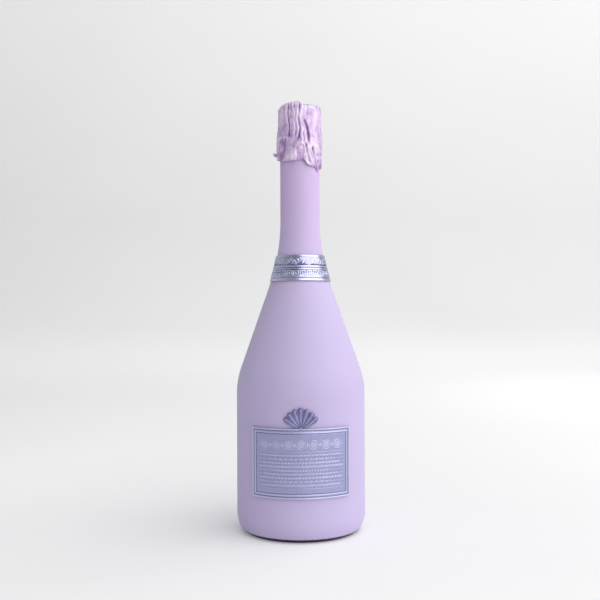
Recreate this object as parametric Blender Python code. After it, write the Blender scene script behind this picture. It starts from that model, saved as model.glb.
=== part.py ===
"""Sparkling wine bottle, sealed and dressed.

Lacquered glass with a punt, its filling, a mushroom cork with two natural discs,
a wire cage with its cap, a crumpled foil hood with a tear tab, an embossed metal
neck band and an embossed metal plaque, the last two on adhesive film.

Metres, +Z up. The origin is the middle of the base, and the plaque faces -Y.
"""

import math

import bmesh
import bpy
from mathutils import Matrix, Quaternion, Vector

# Clearances
GAP = 0.0003
FILM_GAP = 0.00025

# Steps round the turned pieces
ROUND_STEPS = 40
CORK_FOOT_STEPS = 20
WIRE_SIDES = 6

# Glass: body and shoulder
BODY_RADIUS = 0.0475
BODY_WALL = 0.0043
SHOULDER_HEIGHT = 0.1008
SHOULDER_RADIUS = 0.060
CONE_ANGLE = math.radians(19.4)
FLARE_RADIUS = 0.151
SHOULDER_STEPS = 4
FLARE_STEPS = 5

# Glass: heel, bearing ring and punt
HEEL_RADIUS = 0.0202
HEEL_SWEEP = math.radians(38.5)
HEEL_STEPS = 5
BEARING_HEIGHT = 0.0015
BEARING_LEDGE = 0.0013
BEARING_FLAT_INSET = 0.0012
BEARING_WIDTH = 0.0049
KNURL_DEPTH = 0.0005
PUNT_DEPTH = 0.030
PUNT_CROWN = 0.0075
VALLEY_HEIGHT = 0.007
VALLEY_RADIUS = 0.0041
VALLEY_FLAT = 0.0010
VALLEY_STEPS = 3
PUNT_STEPS = 6

# Glass: neck and finish
NECK_RADIUS = 0.01465
NECK_LENGTH = 0.0438
BORE_RADIUS = 0.0092
CAGE_GROOVE_RADIUS = 0.0129
CAGE_GROOVE_TAPER = 0.0020
CAGE_GROOVE_HEIGHT = 0.0040
COLLAR_RADIUS = 0.0150
COLLAR_HEIGHT = 0.0022
CROWN_GROOVE_RADIUS = 0.0133
CROWN_GROOVE_HEIGHT = 0.0018
LIP_RADIUS = 0.0143
LIP_BEAD_HEIGHT = 0.0095
LIP_EDGE = 0.0010
BORE_EDGE = 0.0006

# Wine: the distance from the lip down to its level
FILL_DEPTH = 0.0800

# Cork
CORK_DEPTH = 0.0240
CORK_DISC_THICKNESS = 0.0055
CORK_FOOT_EDGE = 0.0005
CORK_HEAD_RADIUS = 0.0150
CORK_HEAD_HEIGHT = 0.0178
CORK_FLARE_HEIGHT = 0.0052
CORK_EDGE_RADIUS = 0.0025
LEG_DENT_DEPTH = 0.0015

# Cage
WIRE_RADIUS = 0.00045
LEG_STRAND_RADIUS = 0.00035
LEG_HALF_WIDTH = 0.00062
LEG_HALF_THICKNESS = 0.00028
LEG_TWISTS = 3.5
LEG_STEPS = 30
LEG_COUNT = 4
LEG_TURN = math.radians(-18.0)
CAP_RADIUS = 0.0126
CAP_THICKNESS = 0.00035
CAP_CROWN_RADIUS = 0.0092
CAP_CROWN_SLOPE = 0.0010
CAP_CROWN_HEIGHT = 0.0012
CAGE_RING_RADIUS = 0.0112
RING_STEPS = 32
EYE_STEPS = 10
TAIL_AZIMUTH = math.radians(117.0)
TAIL_TWISTS = 1
TAIL_STEPS = 8
LOOP_HALF_WIDTH = 0.0030
LOOP_HALF_HEIGHT = 0.0036
LOOP_STEPS = 14

# Foil hood
FOIL_THICKNESS = 0.0004
HOOD_CORNER_RADIUS = 0.0034
HOOD_CORNER_STEPS = 3
HOOD_SKIRT = 0.0078
HEM_EASE = 0.00025
PLEAT_DEPTH = 0.0003
PLEAT_COUNT = 9
FINE_PLEAT_COUNT = 13
CROWN_SAG = 0.0005
RIM_FOLD_HEIGHT = 0.0012
# Raised folds of the crown's rim: azimuth and half angle in degrees, share of the height
RIM_FOLDS = ((-29, 36, 1.0), (84, 30, 0.6), (155, 30, 0.8), (-128, 32, 0.5))
ARCH_DEPTH = 0.0008
ARCH_HALF_HEIGHT = 0.0065
ARCH_OFFSET = math.radians(18.0)
ARCH_HALF_ANGLE = math.radians(13.5)
HEM_RAG = 0.0008
HEM_RAG_COUNT = 7
TAIL_FOLD_LENGTH = 0.0065
TAIL_FOLD_AZIMUTH = math.radians(54.0)
TAIL_FOLD_HALF_ANGLE = math.radians(27.0)

# Tear tab
TAB_LENGTH = 0.0055
TAB_HEIGHT = 0.0032
TAB_TIP_EDGE = 0.0010
TAB_AZIMUTH = math.radians(-97.0)
TAB_LIFT = math.radians(22.0)

# Neck band
BAND_BOTTOM = 0.1840
BAND_HEIGHT = 0.0190
BAND_THICKNESS = 0.0005
BAND_SEAM = 0.0008
FILM_THICKNESS = 0.0002
FILM_INSET = 0.0010

# Relief across the neck band: share of its height, share of its thickness
BAND_RELIEF_SHARES = (
    (0.00, 0.55), (0.02, 1.00), (0.08, 1.00), (0.10, 0.55),
    (0.24, 0.55), (0.28, 0.85), (0.40, 0.85), (0.44, 0.55),
    (0.49, 1.00), (0.53, 1.00), (0.58, 0.55),
    (0.64, 0.85), (0.84, 0.85), (0.90, 0.55), (0.95, 1.00), (1.00, 0.80),
)

# Plaque
PLAQUE_BOTTOM = 0.0320
PLAQUE_HEIGHT = 0.0487
PLAQUE_WIDTH = 0.0735
PLAQUE_THICKNESS = 0.0006
FRAME_RIDGE = 0.0004
FRAME_WIDTH = 0.0040
ROW_RIDGE = 0.00022
ROW_COUNT = 9
FIELD_COLUMNS = 12

# Frame of the plaque: share of the frame's width, whether the ridge is up there
MATCH_SHARE = 0.001
FRAME_RIDGE_SHARES = (
    (0.00, 1), (0.28, 1), (0.38, 0), (0.58, 0), (0.68, 1), (0.90, 1), (1.00, 0),
)

# Crest on the plaque's top rim: a fan of petals
CREST_HEIGHT = 0.0158
CREST_DROP = 0.0012
CREST_THICKNESS = 0.0007
CREST_SINK = 0.0002
CREST_RELIEF = 0.0005
CREST_HALF_ANGLE = math.radians(62.0)
CREST_PETALS = 7
CREST_PETAL_STEPS = 4
CREST_RING_SHARES = (0.16, 0.45, 0.78, 1.00)
CREST_SIDE_SHARE = 0.90
CREST_NOTCH_SHARE = 0.13
CREST_SWELL_FROM_SHARE = 0.25
CREST_SWELL_OVER_SHARE = 0.65

SHARP_ANGLE = math.radians(35.0)


# Places that follow from the sizes


def wall_line(inset, neck_radius):
    """Shoulder, cone and flare of the wall, bottom to top, the inset measured inwards."""
    body_radius = BODY_RADIUS - inset
    shoulder_radius = SHOULDER_RADIUS - inset
    flare_radius = FLARE_RADIUS + inset
    points = []
    for step in range(SHOULDER_STEPS + 1):
        angle = CONE_ANGLE * step / SHOULDER_STEPS
        radius = body_radius - shoulder_radius * (1 - math.cos(angle))
        points.append((radius, SHOULDER_HEIGHT + shoulder_radius * math.sin(angle)))
    foot_radius, foot_height = points[-1]
    top_radius = neck_radius + flare_radius * (1 - math.cos(CONE_ANGLE))
    top_height = foot_height + (foot_radius - top_radius) / math.tan(CONE_ANGLE)
    neck_foot = top_height + flare_radius * math.sin(CONE_ANGLE)
    for step in range(FLARE_STEPS + 1):
        angle = CONE_ANGLE * (1 - step / FLARE_STEPS)
        radius = neck_radius + flare_radius * (1 - math.cos(angle))
        points.append((radius, neck_foot - flare_radius * math.sin(angle)))
    return points


def radius_at(points, height):
    """Radius of an outline, given bottom to top, at one height."""
    if height <= points[0][1]:
        return points[0][0]
    for low, high in zip(points, points[1:]):
        if height <= high[1]:
            share = (height - low[1]) / (high[1] - low[1])
            return low[0] + (high[0] - low[0]) * share
    return points[-1][0]


OUTER_WALL = wall_line(0, NECK_RADIUS)
INNER_WALL = wall_line(BODY_WALL, BORE_RADIUS)
WINE_WALL = wall_line(BODY_WALL + GAP, BORE_RADIUS - GAP)

HEEL_FOOT_RADIUS = BODY_RADIUS - HEEL_RADIUS * (1 - math.cos(HEEL_SWEEP))
BEARING_RADIUS = HEEL_FOOT_RADIUS - BEARING_LEDGE
PUNT_RADIUS = BEARING_RADIUS - BEARING_WIDTH

NECK_TOP = OUTER_WALL[-1][1] + NECK_LENGTH
GROOVE_FOOT = NECK_TOP + CAGE_GROOVE_TAPER
COLLAR_FOOT = GROOVE_FOOT + CAGE_GROOVE_HEIGHT
COLLAR_TOP = COLLAR_FOOT + COLLAR_HEIGHT
BEAD_FOOT = COLLAR_TOP + CROWN_GROOVE_HEIGHT
LIP_HEIGHT = BEAD_FOOT + LIP_BEAD_HEIGHT

SHANK_RADIUS = BORE_RADIUS - GAP
CORK_FOOT = LIP_HEIGHT - CORK_DEPTH
CORK_TOP = LIP_HEIGHT + CORK_HEAD_HEIGHT
CAP_FOOT = CORK_TOP + GAP
CAP_RIM_TOP = CAP_FOOT + CAP_THICKNESS

EYE_WIRE_RADIUS = LEG_STRAND_RADIUS
EYE_RADIUS = WIRE_RADIUS + GAP + EYE_WIRE_RADIUS
BELT_RADIUS = CAGE_GROOVE_RADIUS + GAP + EYE_RADIUS + EYE_WIRE_RADIUS
BELT_HEIGHT = COLLAR_FOOT - GAP - EYE_RADIUS - EYE_WIRE_RADIUS
CAGE_RING_HEIGHT = CAP_RIM_TOP + GAP + WIRE_RADIUS
LEG_TOP_HEIGHT = CAP_RIM_TOP + GAP + LEG_HALF_WIDTH
LEG_LOW_RADIUS = COLLAR_RADIUS + GAP + LEG_HALF_WIDTH
LEG_HEAD_RADIUS = CORK_HEAD_RADIUS - LEG_DENT_DEPTH + 2 * LEG_HALF_WIDTH + GAP / 2
LOOP_RADIUS = COLLAR_RADIUS + 2 * WIRE_RADIUS + GAP / 2

HOOD_TOP = LEG_TOP_HEIGHT + LEG_HALF_WIDTH + GAP + FOIL_THICKNESS + CROWN_SAG
HOOD_HEM = COLLAR_FOOT - HOOD_SKIRT
HOOD_HEAD_RADIUS = LEG_HEAD_RADIUS + LEG_HALF_WIDTH + GAP + FOIL_THICKNESS
HOOD_WAIST_RADIUS = LEG_LOW_RADIUS + LEG_HALF_WIDTH + GAP + FOIL_THICKNESS
HOOD_HEM_RADIUS = CORK_HEAD_RADIUS + GAP + FOIL_THICKNESS + HEM_EASE

FILM_OUTER = FILM_GAP + FILM_THICKNESS
STANDOFF = FILM_OUTER + FILM_GAP
PLAQUE_TOP = PLAQUE_BOTTOM + PLAQUE_HEIGHT


def at(azimuth, radius, height):
    """Point at an azimuth, 0 at the front and growing towards +X."""
    return Vector((radius * math.sin(azimuth), -radius * math.cos(azimuth), height))


def on_wall(along, height, proud):
    """Point in front of the body's wall: arc length from the middle, height, stand-off."""
    return at(along / BODY_RADIUS, radius_at(OUTER_WALL, height) + proud, height)


def bump(offset, half_width):
    """Smooth hump, 1 in the middle and 0 from half_width on."""
    share = min(abs(offset) / half_width, 1)
    return (1 + math.cos(math.pi * share)) / 2


def turn_between(first, second):
    """Signed angle from one azimuth to another, within half a turn."""
    return (first - second + math.pi) % (2 * math.pi) - math.pi


# Materials and objects


def linear(level):
    """Linear value of an sRGB level from 0 to 255."""
    share = level / 255
    return share / 12.92 if share <= 0.04045 else ((share + 0.055) / 1.055) ** 2.4


def material(name, colour, roughness, metallic=0.0):
    """Principled material; the colour is given as sRGB levels."""
    made = bpy.data.materials.new(name)
    made.use_nodes = True
    shader = made.node_tree.nodes["Principled BSDF"]
    base = (*[linear(level) for level in colour], 1.0)
    shader.inputs["Base Color"].default_value = base
    shader.inputs["Roughness"].default_value = roughness
    shader.inputs["Metallic"].default_value = metallic
    made.diffuse_color = base
    return made


def mesh_object(name, mesh, finish=None):
    """Object of a bmesh, with faces out and round surfaces shaded smooth."""
    bmesh.ops.recalc_face_normals(mesh, faces=mesh.faces)
    data = bpy.data.meshes.new(name)
    mesh.to_mesh(data)
    mesh.free()
    data.shade_smooth()
    data.set_sharp_from_angle(angle=SHARP_ANGLE)
    made = bpy.data.objects.new(name, data)
    bpy.context.scene.collection.objects.link(made)
    if finish:
        data.materials.append(finish)
    return made


def as_tool(made):
    """Marks an object as one that only shapes another."""
    made.hide_render = True
    made.display_type = "WIRE"


def unite(made, tools):
    """Union of an object with its tools."""
    for tool in tools:
        as_tool(tool)
        join = made.modifiers.new(tool.name, "BOOLEAN")
        join.operation = "UNION"
        join.solver = "EXACT"
        join.object = tool


def carry(children, name, origin):
    """Empty on a joint's axis that carries a moving piece."""
    empty = bpy.data.objects.new(name, None)
    empty.empty_display_size = NECK_RADIUS
    empty.location = origin
    bpy.context.scene.collection.objects.link(empty)
    for child in children:
        child.parent = empty
        child.matrix_parent_inverse = Matrix.Translation(-origin)


# Turned pieces


def add_ring(mesh, radius, height, steps, drop=None):
    """Ring of vertices, or one vertex on the axis; drop lowers the radius by azimuth."""
    if radius == 0:
        return [mesh.verts.new((0, 0, height))]
    ring = []
    for step in range(steps):
        azimuth = 2 * math.pi * step / steps
        lowered = radius - (drop(azimuth) if drop else 0)
        ring.append(mesh.verts.new(at(azimuth, lowered, height)))
    return ring


def bridge(mesh, first, second):
    """Faces between two rings of equal steps, or of one and twice the steps, or to a pole."""
    if len(first) > len(second):
        first, second = second, first
    count = len(second)
    if len(first) == 1:
        for step in range(count):
            mesh.faces.new((first[0], second[step], second[(step + 1) % count]))
        return
    share = count // len(first)
    for step in range(len(first)):
        far = [second[(step * share + part) % count] for part in range(share + 1)]
        near = [first[(step + 1) % len(first)], first[step]]
        mesh.faces.new(far + near)


def turned(name, rings, finish, closed=False):
    """Solid of revolution from rings of (radius, height, steps, drop)."""
    mesh = bmesh.new()
    made = [add_ring(mesh, *ring) for ring in rings]
    for first, second in zip(made, made[1:]):
        bridge(mesh, first, second)
    if closed:
        bridge(mesh, made[-1], made[0])
    return mesh_object(name, mesh, finish)


def plain(points, steps=ROUND_STEPS, drop=None):
    """Rings of one kind from outline points."""
    return [(radius, height, steps, drop) for radius, height in points]


def arc(centre, radii, start, end, steps):
    """Points on an elliptic arc about a (radius, height) centre, angles from outwards to up."""
    points = []
    for step in range(steps + 1):
        angle = start + (end - start) * step / steps
        points.append((centre[0] + radii[0] * math.cos(angle),
                       centre[1] + radii[1] * math.sin(angle)))
    return points


def dome(radius, depth, foot):
    """Quarter of an ellipse from the rim at foot up to the axis."""
    points = arc((0, foot), (radius, depth), 0, math.pi / 2, PUNT_STEPS)
    return points[:-1] + [(0, foot + depth)]


# Glass and wine


def heel_line():
    """Heel from the ledge over the bearing ring up to the straight wall."""
    centre = (BODY_RADIUS - HEEL_RADIUS, HEEL_RADIUS * math.sin(HEEL_SWEEP) + BEARING_HEIGHT)
    return arc(centre, (HEEL_RADIUS, HEEL_RADIUS), -HEEL_SWEEP, 0, HEEL_STEPS)


def floor_line(clear):
    """Cavity's floor from the punt's crown down its side and up the wall, clear of the glass."""
    middle = (BODY_RADIUS - BODY_WALL - VALLEY_RADIUS, VALLEY_HEIGHT + VALLEY_RADIUS)
    bend = VALLEY_RADIUS - clear
    crown_depth = PUNT_DEPTH + PUNT_CROWN - VALLEY_HEIGHT
    crown = dome(middle[0] - VALLEY_FLAT + clear, crown_depth, VALLEY_HEIGHT + clear)
    return crown[::-1] + arc(middle, (bend, bend), -math.pi / 2, 0, VALLEY_STEPS)


def knurl(azimuth):
    """Depth of the knurl on the bearing ring: every other vertex lies lower."""
    return KNURL_DEPTH * (1 - math.cos(ROUND_STEPS * azimuth)) / 2


def finish_line():
    """Neck top, cage groove, collar, crown groove and lip bead, bottom to top."""
    chamfer = COLLAR_HEIGHT / 4
    return [
        (NECK_RADIUS, NECK_TOP),
        (CAGE_GROOVE_RADIUS, GROOVE_FOOT),
        (CAGE_GROOVE_RADIUS, COLLAR_FOOT),
        (COLLAR_RADIUS - chamfer, COLLAR_FOOT),
        (COLLAR_RADIUS, COLLAR_FOOT + chamfer),
        (COLLAR_RADIUS, COLLAR_TOP - chamfer),
        (CROWN_GROOVE_RADIUS, COLLAR_TOP),
        (CROWN_GROOVE_RADIUS, BEAD_FOOT),
        (LIP_RADIUS, BEAD_FOOT + LIP_EDGE / 2),
        (LIP_RADIUS, LIP_HEIGHT - LIP_EDGE),
        (LIP_RADIUS - LIP_EDGE, LIP_HEIGHT),
        (BORE_RADIUS + BORE_EDGE, LIP_HEIGHT),
        (BORE_RADIUS, LIP_HEIGHT - BORE_EDGE),
    ]


def make_glass():
    """Bottle in one piece of glass, outside and inside, under its lacquer."""
    fine = 2 * ROUND_STEPS
    outside = plain(dome(PUNT_RADIUS, PUNT_DEPTH, 0)[::-1])
    outside.append((BEARING_RADIUS - BEARING_FLAT_INSET, 0, fine, None))
    outside.append((BEARING_RADIUS, BEARING_HEIGHT / 2, fine, knurl))
    outside.append((BEARING_RADIUS, BEARING_HEIGHT, fine, None))
    outside += plain(heel_line() + OUTER_WALL + finish_line())
    inside = plain(floor_line(0) + INNER_WALL)[::-1]
    lacquer = material("lavender_lacquer", (205, 190, 232), 0.5)
    return turned("glass_bottle", outside + inside, lacquer)


def make_wine():
    """Filling up to its level in the neck."""
    level = LIP_HEIGHT - FILL_DEPTH
    line = floor_line(GAP) + WINE_WALL
    below = [point for point in line if point[1] < level or point[0] == 0]
    top = [(radius_at(WINE_WALL, level), level), (0, level)]
    return turned("wine", plain(below + top), material("wine", (214, 186, 96), 0.05))


# Cork


def leg_azimuths():
    """Azimuths of the cage's legs."""
    return [LEG_TURN + 2 * math.pi * count / LEG_COUNT for count in range(LEG_COUNT)]


def leg_dents(azimuth):
    """Grooves that the tight legs press into the cork's head."""
    width = 2 * math.pi / ROUND_STEPS
    nearest = min(abs(turn_between(azimuth, leg)) for leg in leg_azimuths())
    return LEG_DENT_DEPTH * max(1 - nearest / width, 0)


def make_cork():
    """Agglomerated body with its head, and the two natural discs under it."""
    body_foot = CORK_FOOT + 2 * (CORK_DISC_THICKNESS + GAP)
    flare_foot = LIP_HEIGHT + GAP
    flare = arc((CORK_HEAD_RADIUS, flare_foot), (SHANK_RADIUS - CORK_HEAD_RADIUS, CORK_FLARE_HEIGHT),
                0, math.pi / 2, 3)
    corner = (CORK_HEAD_RADIUS - CORK_EDGE_RADIUS, CORK_TOP - CORK_EDGE_RADIUS)
    edge = arc(corner, (CORK_EDGE_RADIUS, CORK_EDGE_RADIUS), 0, math.pi / 2, 3)
    rings = plain([(0, body_foot), (SHANK_RADIUS, body_foot)] + flare[:-1])
    rings += plain([flare[-1]] + edge, ROUND_STEPS, leg_dents) + plain([(0, CORK_TOP)])
    grain = material("agglomerated_cork", (196, 160, 112), 0.85)
    pieces = [turned("cork_body", rings, grain)]
    slice_finish = material("natural_cork", (206, 170, 120), 0.8)
    for name, foot, edge_size in (
        ("cork_disc_lower", CORK_FOOT, CORK_FOOT_EDGE),
        ("cork_disc_upper", CORK_FOOT + CORK_DISC_THICKNESS + GAP, 0),
    ):
        line = [(0, foot), (SHANK_RADIUS - edge_size, foot)]
        if edge_size:
            line.append((SHANK_RADIUS, foot + edge_size))
        line += [(SHANK_RADIUS, foot + CORK_DISC_THICKNESS), (0, foot + CORK_DISC_THICKNESS)]
        pieces.append(turned(name, plain(line, CORK_FOOT_STEPS), slice_finish))
    return pieces


# Swept wires


def swept(name, path, section, finish=None, closed=False, twists=0):
    """Tube that carries a section along a path, twisting evenly as it goes."""
    mesh = bmesh.new()
    count = len(path)
    normal = None
    rings = []
    for step, point in enumerate(path):
        after = path[(step + 1) % count] if closed or step < count - 1 else point
        before = path[step - 1] if closed or step else point
        tangent = (after - before).normalized()
        if normal is None:
            normal = tangent.orthogonal().normalized()
        normal = (normal - tangent * normal.dot(tangent)).normalized()
        side = tangent.cross(normal)
        spin = 2 * math.pi * twists * step / max(count - 1, 1)
        ring = []
        for across, up in section:
            east = across * math.cos(spin) - up * math.sin(spin)
            north = across * math.sin(spin) + up * math.cos(spin)
            ring.append(mesh.verts.new(point + normal * east + side * north))
        rings.append(ring)
    for first, second in zip(rings, rings[1:]):
        bridge(mesh, first, second)
    if closed:
        bridge(mesh, rings[-1], rings[0])
    else:
        mesh.faces.new(rings[0])
        mesh.faces.new(rings[-1])
    return mesh_object(name, mesh, finish)


def round_section(radius):
    """Section of a single wire."""
    turns = [2 * math.pi * step / WIRE_SIDES for step in range(WIRE_SIDES)]
    return [(radius * math.cos(turn), radius * math.sin(turn)) for turn in turns]


def pair_section():
    """Section of two strands side by side, drawn in at the waist between them."""
    points = []
    for step in range(WIRE_SIDES):
        turn = 2 * math.pi * step / WIRE_SIDES
        reach = LEG_HALF_THICKNESS + (LEG_HALF_WIDTH - LEG_HALF_THICKNESS) * math.cos(turn) ** 2
        points.append((reach * math.cos(turn), reach * math.sin(turn)))
    return points


def circle(radius, height, steps):
    """Level circle of points about the bottle's axis."""
    return [at(2 * math.pi * step / steps, radius, height) for step in range(steps)]


def resampled(points, steps):
    """Points at equal distances along a line of (radius, height) points."""
    lengths = [0]
    for first, second in zip(points, points[1:]):
        lengths.append(lengths[-1] + math.dist(first, second))
    out = []
    for step in range(steps + 1):
        reach = lengths[-1] * step / steps
        part = max(index for index in range(len(points) - 1) if lengths[index] <= reach)
        share = (reach - lengths[part]) / (lengths[part + 1] - lengths[part])
        first, second = points[part], points[part + 1]
        out.append((first[0] + (second[0] - first[0]) * share,
                    first[1] + (second[1] - first[1]) * share))
    return out


def leg_line():
    """One leg from its eye up the bottle's side and over the cork's edge to the top ring."""
    diagonal = EYE_RADIUS * math.sqrt(0.5)
    edge_foot = CORK_TOP - CORK_EDGE_RADIUS
    edge_middle = CORK_HEAD_RADIUS - CORK_EDGE_RADIUS
    over = arc((edge_middle, edge_foot),
               (LEG_HEAD_RADIUS - edge_middle, LEG_TOP_HEIGHT - edge_foot), 0, math.pi / 2, 4)
    line = [
        (BELT_RADIUS + diagonal, BELT_HEIGHT + diagonal),
        (LEG_LOW_RADIUS, COLLAR_FOOT + COLLAR_HEIGHT / 4),
        (LEG_LOW_RADIUS, BEAD_FOOT),
        (LEG_HEAD_RADIUS, LIP_HEIGHT + CORK_FLARE_HEIGHT),
    ]
    return line + over + [(CAGE_RING_RADIUS, CAGE_RING_HEIGHT)]


def make_cage_wire():
    """Top ring, four twisted legs and an eye at each leg's foot, in one solid."""
    steel = material("cage_wire", (196, 190, 204), 0.3, 1.0)
    ring = swept("cage_wire", circle(CAGE_RING_RADIUS, CAGE_RING_HEIGHT, RING_STEPS),
                 round_section(WIRE_RADIUS), steel, closed=True)
    tools = []
    for count, azimuth in enumerate(leg_azimuths()):
        line = [at(azimuth, *point) for point in resampled(leg_line(), LEG_STEPS)]
        tools.append(swept(f"leg_tool_{count}", line, pair_section(), twists=LEG_TWISTS))
        centre = at(azimuth, BELT_RADIUS, BELT_HEIGHT)
        outward = at(azimuth, EYE_RADIUS, 0)
        eye = []
        for step in range(EYE_STEPS):
            turn = 2 * math.pi * step / EYE_STEPS
            eye.append(centre + outward * math.cos(turn) + Vector((0, 0, EYE_RADIUS * math.sin(turn))))
        tools.append(swept(f"eye_tool_{count}", eye, round_section(EYE_WIRE_RADIUS), closed=True))
    unite(ring, tools)
    return ring


def make_cage_belt():
    """Belt wire under the collar, its twisted tail and the loop, folded up on the neck."""
    steel = material("cage_belt", (190, 186, 200), 0.32, 1.0)
    belt = swept("cage_belt", circle(BELT_RADIUS, BELT_HEIGHT, RING_STEPS),
                 round_section(WIRE_RADIUS), steel, closed=True)
    loop_middle = COLLAR_TOP + LOOP_HALF_HEIGHT + WIRE_RADIUS
    tail = [
        (BELT_RADIUS, BELT_HEIGHT),
        (LOOP_RADIUS, BELT_HEIGHT + (LOOP_RADIUS - BELT_RADIUS)),
        (LOOP_RADIUS, loop_middle - LOOP_HALF_HEIGHT),
    ]
    path = [at(TAIL_AZIMUTH, *point) for point in resampled(tail, TAIL_STEPS)]
    loop = []
    for step in range(LOOP_STEPS):
        turn = 2 * math.pi * step / LOOP_STEPS
        azimuth = TAIL_AZIMUTH + LOOP_HALF_WIDTH * math.cos(turn) / LOOP_RADIUS
        loop.append(at(azimuth, LOOP_RADIUS, loop_middle + LOOP_HALF_HEIGHT * math.sin(turn)))
    unite(belt, [
        swept("tail_tool", path, pair_section(), twists=TAIL_TWISTS),
        swept("loop_tool", loop, round_section(WIRE_RADIUS), closed=True),
    ])
    return belt


def make_cage_cap():
    """Sheet metal cap with a raised crown, whose groove holds the top ring."""
    foot = CAP_CROWN_RADIUS + CAP_CROWN_SLOPE
    line = [
        (0, CAP_RIM_TOP + CAP_CROWN_HEIGHT),
        (CAP_CROWN_RADIUS, CAP_RIM_TOP + CAP_CROWN_HEIGHT),
        (foot, CAP_RIM_TOP),
        (CAP_RADIUS, CAP_RIM_TOP),
        (CAP_RADIUS, CAP_FOOT),
        (foot - CAP_THICKNESS, CAP_FOOT),
        (CAP_CROWN_RADIUS - CAP_THICKNESS, CAP_FOOT + CAP_CROWN_HEIGHT),
        (0, CAP_FOOT + CAP_CROWN_HEIGHT),
    ]
    return turned("cage_cap", plain(line), material("cage_cap", (201, 188, 226), 0.3, 0.8))


# Foil hood and tear tab


def hood_line():
    """Hood's outer outline from the crown to the hem, before pleats and dents."""
    corner = (HOOD_HEAD_RADIUS - HOOD_CORNER_RADIUS, HOOD_TOP - CROWN_SAG - HOOD_CORNER_RADIUS)
    edge = arc(corner, (HOOD_CORNER_RADIUS, HOOD_CORNER_RADIUS), math.pi / 2, 0, HOOD_CORNER_STEPS)
    head_foot = LIP_HEIGHT + CORK_FLARE_HEIGHT
    head_middle = (corner[1] + head_foot) / 2
    waist_top = LIP_HEIGHT - LIP_BEAD_HEIGHT / 3
    waist_foot = BELT_HEIGHT
    return edge + [
        (HOOD_HEAD_RADIUS, head_middle),
        (HOOD_HEAD_RADIUS, head_foot),
        (HOOD_WAIST_RADIUS, waist_top),
        (HOOD_WAIST_RADIUS, (waist_top + waist_foot) / 2),
        (HOOD_WAIST_RADIUS, waist_foot),
        ((HOOD_WAIST_RADIUS + HOOD_HEM_RADIUS) / 2, (waist_foot + HOOD_HEM) / 2),
        (HOOD_HEM_RADIUS, HOOD_HEM),
    ]


def pleats(azimuth):
    """Outward pleats of the hood, from 0 to 1."""
    wide = math.cos(PLEAT_COUNT * azimuth)
    narrow = math.cos(FINE_PLEAT_COUNT * azimuth + 1)
    return (2 + wide + narrow) / 4


def arches(azimuth, height):
    """Places pressed in on both sides of each leg's foot, from 0 to 1."""
    nearest = min(abs(abs(turn_between(azimuth, leg)) - ARCH_OFFSET) for leg in leg_azimuths())
    return bump(nearest, ARCH_HALF_ANGLE) * bump(height - BELT_HEIGHT, ARCH_HALF_HEIGHT)


def hem_drop(azimuth):
    """How far the ragged hem hangs below its highest line, with one long tail."""
    rag = HEM_RAG * (1 + math.cos(HEM_RAG_COUNT * azimuth)) / 2
    tail = bump(turn_between(azimuth, TAIL_FOLD_AZIMUTH), TAIL_FOLD_HALF_ANGLE)
    return rag + TAIL_FOLD_LENGTH * tail


def rim_lift(azimuth):
    """How far the folds of the crown's rim stand up at an azimuth."""
    shares = [share * bump(turn_between(azimuth, math.radians(middle)), math.radians(half))
              for middle, half, share in RIM_FOLDS]
    return RIM_FOLD_HEIGHT * max(shares)


def hood_point(azimuth, radius, height):
    """Point of the hood's outside, its pleats, folds and dents applied."""
    pushed = radius + PLEAT_DEPTH * pleats(azimuth) * radius / HOOD_WAIST_RADIUS
    pushed -= ARCH_DEPTH * arches(azimuth, height)
    hang = hem_drop(azimuth) if height == HOOD_HEM else 0
    corner_foot = HOOD_TOP - CROWN_SAG - HOOD_CORNER_RADIUS
    rise = max(height - corner_foot, 0) / HOOD_CORNER_RADIUS
    return pushed, height - hang + rise * rim_lift(azimuth)


def make_hood():
    """Foil bell, open at the bottom, with crumples and a ragged hem."""
    mesh = bmesh.new()
    outline = hood_line()
    skins = []
    for inset in (0, FOIL_THICKNESS):
        rings = []
        for radius, height in outline:
            ring = []
            for step in range(ROUND_STEPS):
                azimuth = 2 * math.pi * step / ROUND_STEPS
                reach, level = hood_point(azimuth, radius, height)
                drop = inset if height > outline[HOOD_CORNER_STEPS][1] else 0
                ring.append(mesh.verts.new(at(azimuth, reach - inset, level - drop)))
            rings.append(ring)
        pole = mesh.verts.new((0, 0, HOOD_TOP - inset))
        bridge(mesh, [pole], rings[0])
        for first, second in zip(rings, rings[1:]):
            bridge(mesh, first, second)
        skins.append(rings[-1])
    bridge(mesh, skins[0], skins[1])
    return mesh_object("foil_hood", mesh, material("lavender_foil", (216, 190, 232), 0.35, 0.4))


def tab_root():
    """Where the tear tab folds: a named gap off the hood's waist."""
    reach, level = hood_point(TAB_AZIMUTH, HOOD_WAIST_RADIUS, BELT_HEIGHT)
    return at(TAB_AZIMUTH, reach + GAP + FOIL_THICKNESS / 2, level)


def make_tab():
    """Tear tab of the hood's foil, lifted a little off the hood."""
    root = tab_root()
    tangent = Vector((math.cos(TAB_AZIMUTH), math.sin(TAB_AZIMUTH), 0))
    along = Quaternion((0, 0, 1), -TAB_LIFT) @ tangent
    across = along.cross(Vector((0, 0, 1))) * (FOIL_THICKNESS / 2)
    half = TAB_HEIGHT / 2
    outline = [(0, -half), (TAB_LENGTH - TAB_TIP_EDGE, -half), (TAB_LENGTH, TAB_TIP_EDGE - half),
               (TAB_LENGTH, half - TAB_TIP_EDGE), (TAB_LENGTH - TAB_TIP_EDGE, half), (0, half)]
    mesh = bmesh.new()
    sides = []
    for shift in (across, -across):
        corners = [root + along * reach + Vector((0, 0, rise)) + shift for reach, rise in outline]
        sides.append([mesh.verts.new(corner) for corner in corners])
        mesh.faces.new(sides[-1])
    bridge(mesh, sides[0], sides[1])
    return mesh_object("foil_tear_tab", mesh, material("tab_foil", (206, 180, 224), 0.35, 0.4))


# Neck band, plaque and their films


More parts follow.
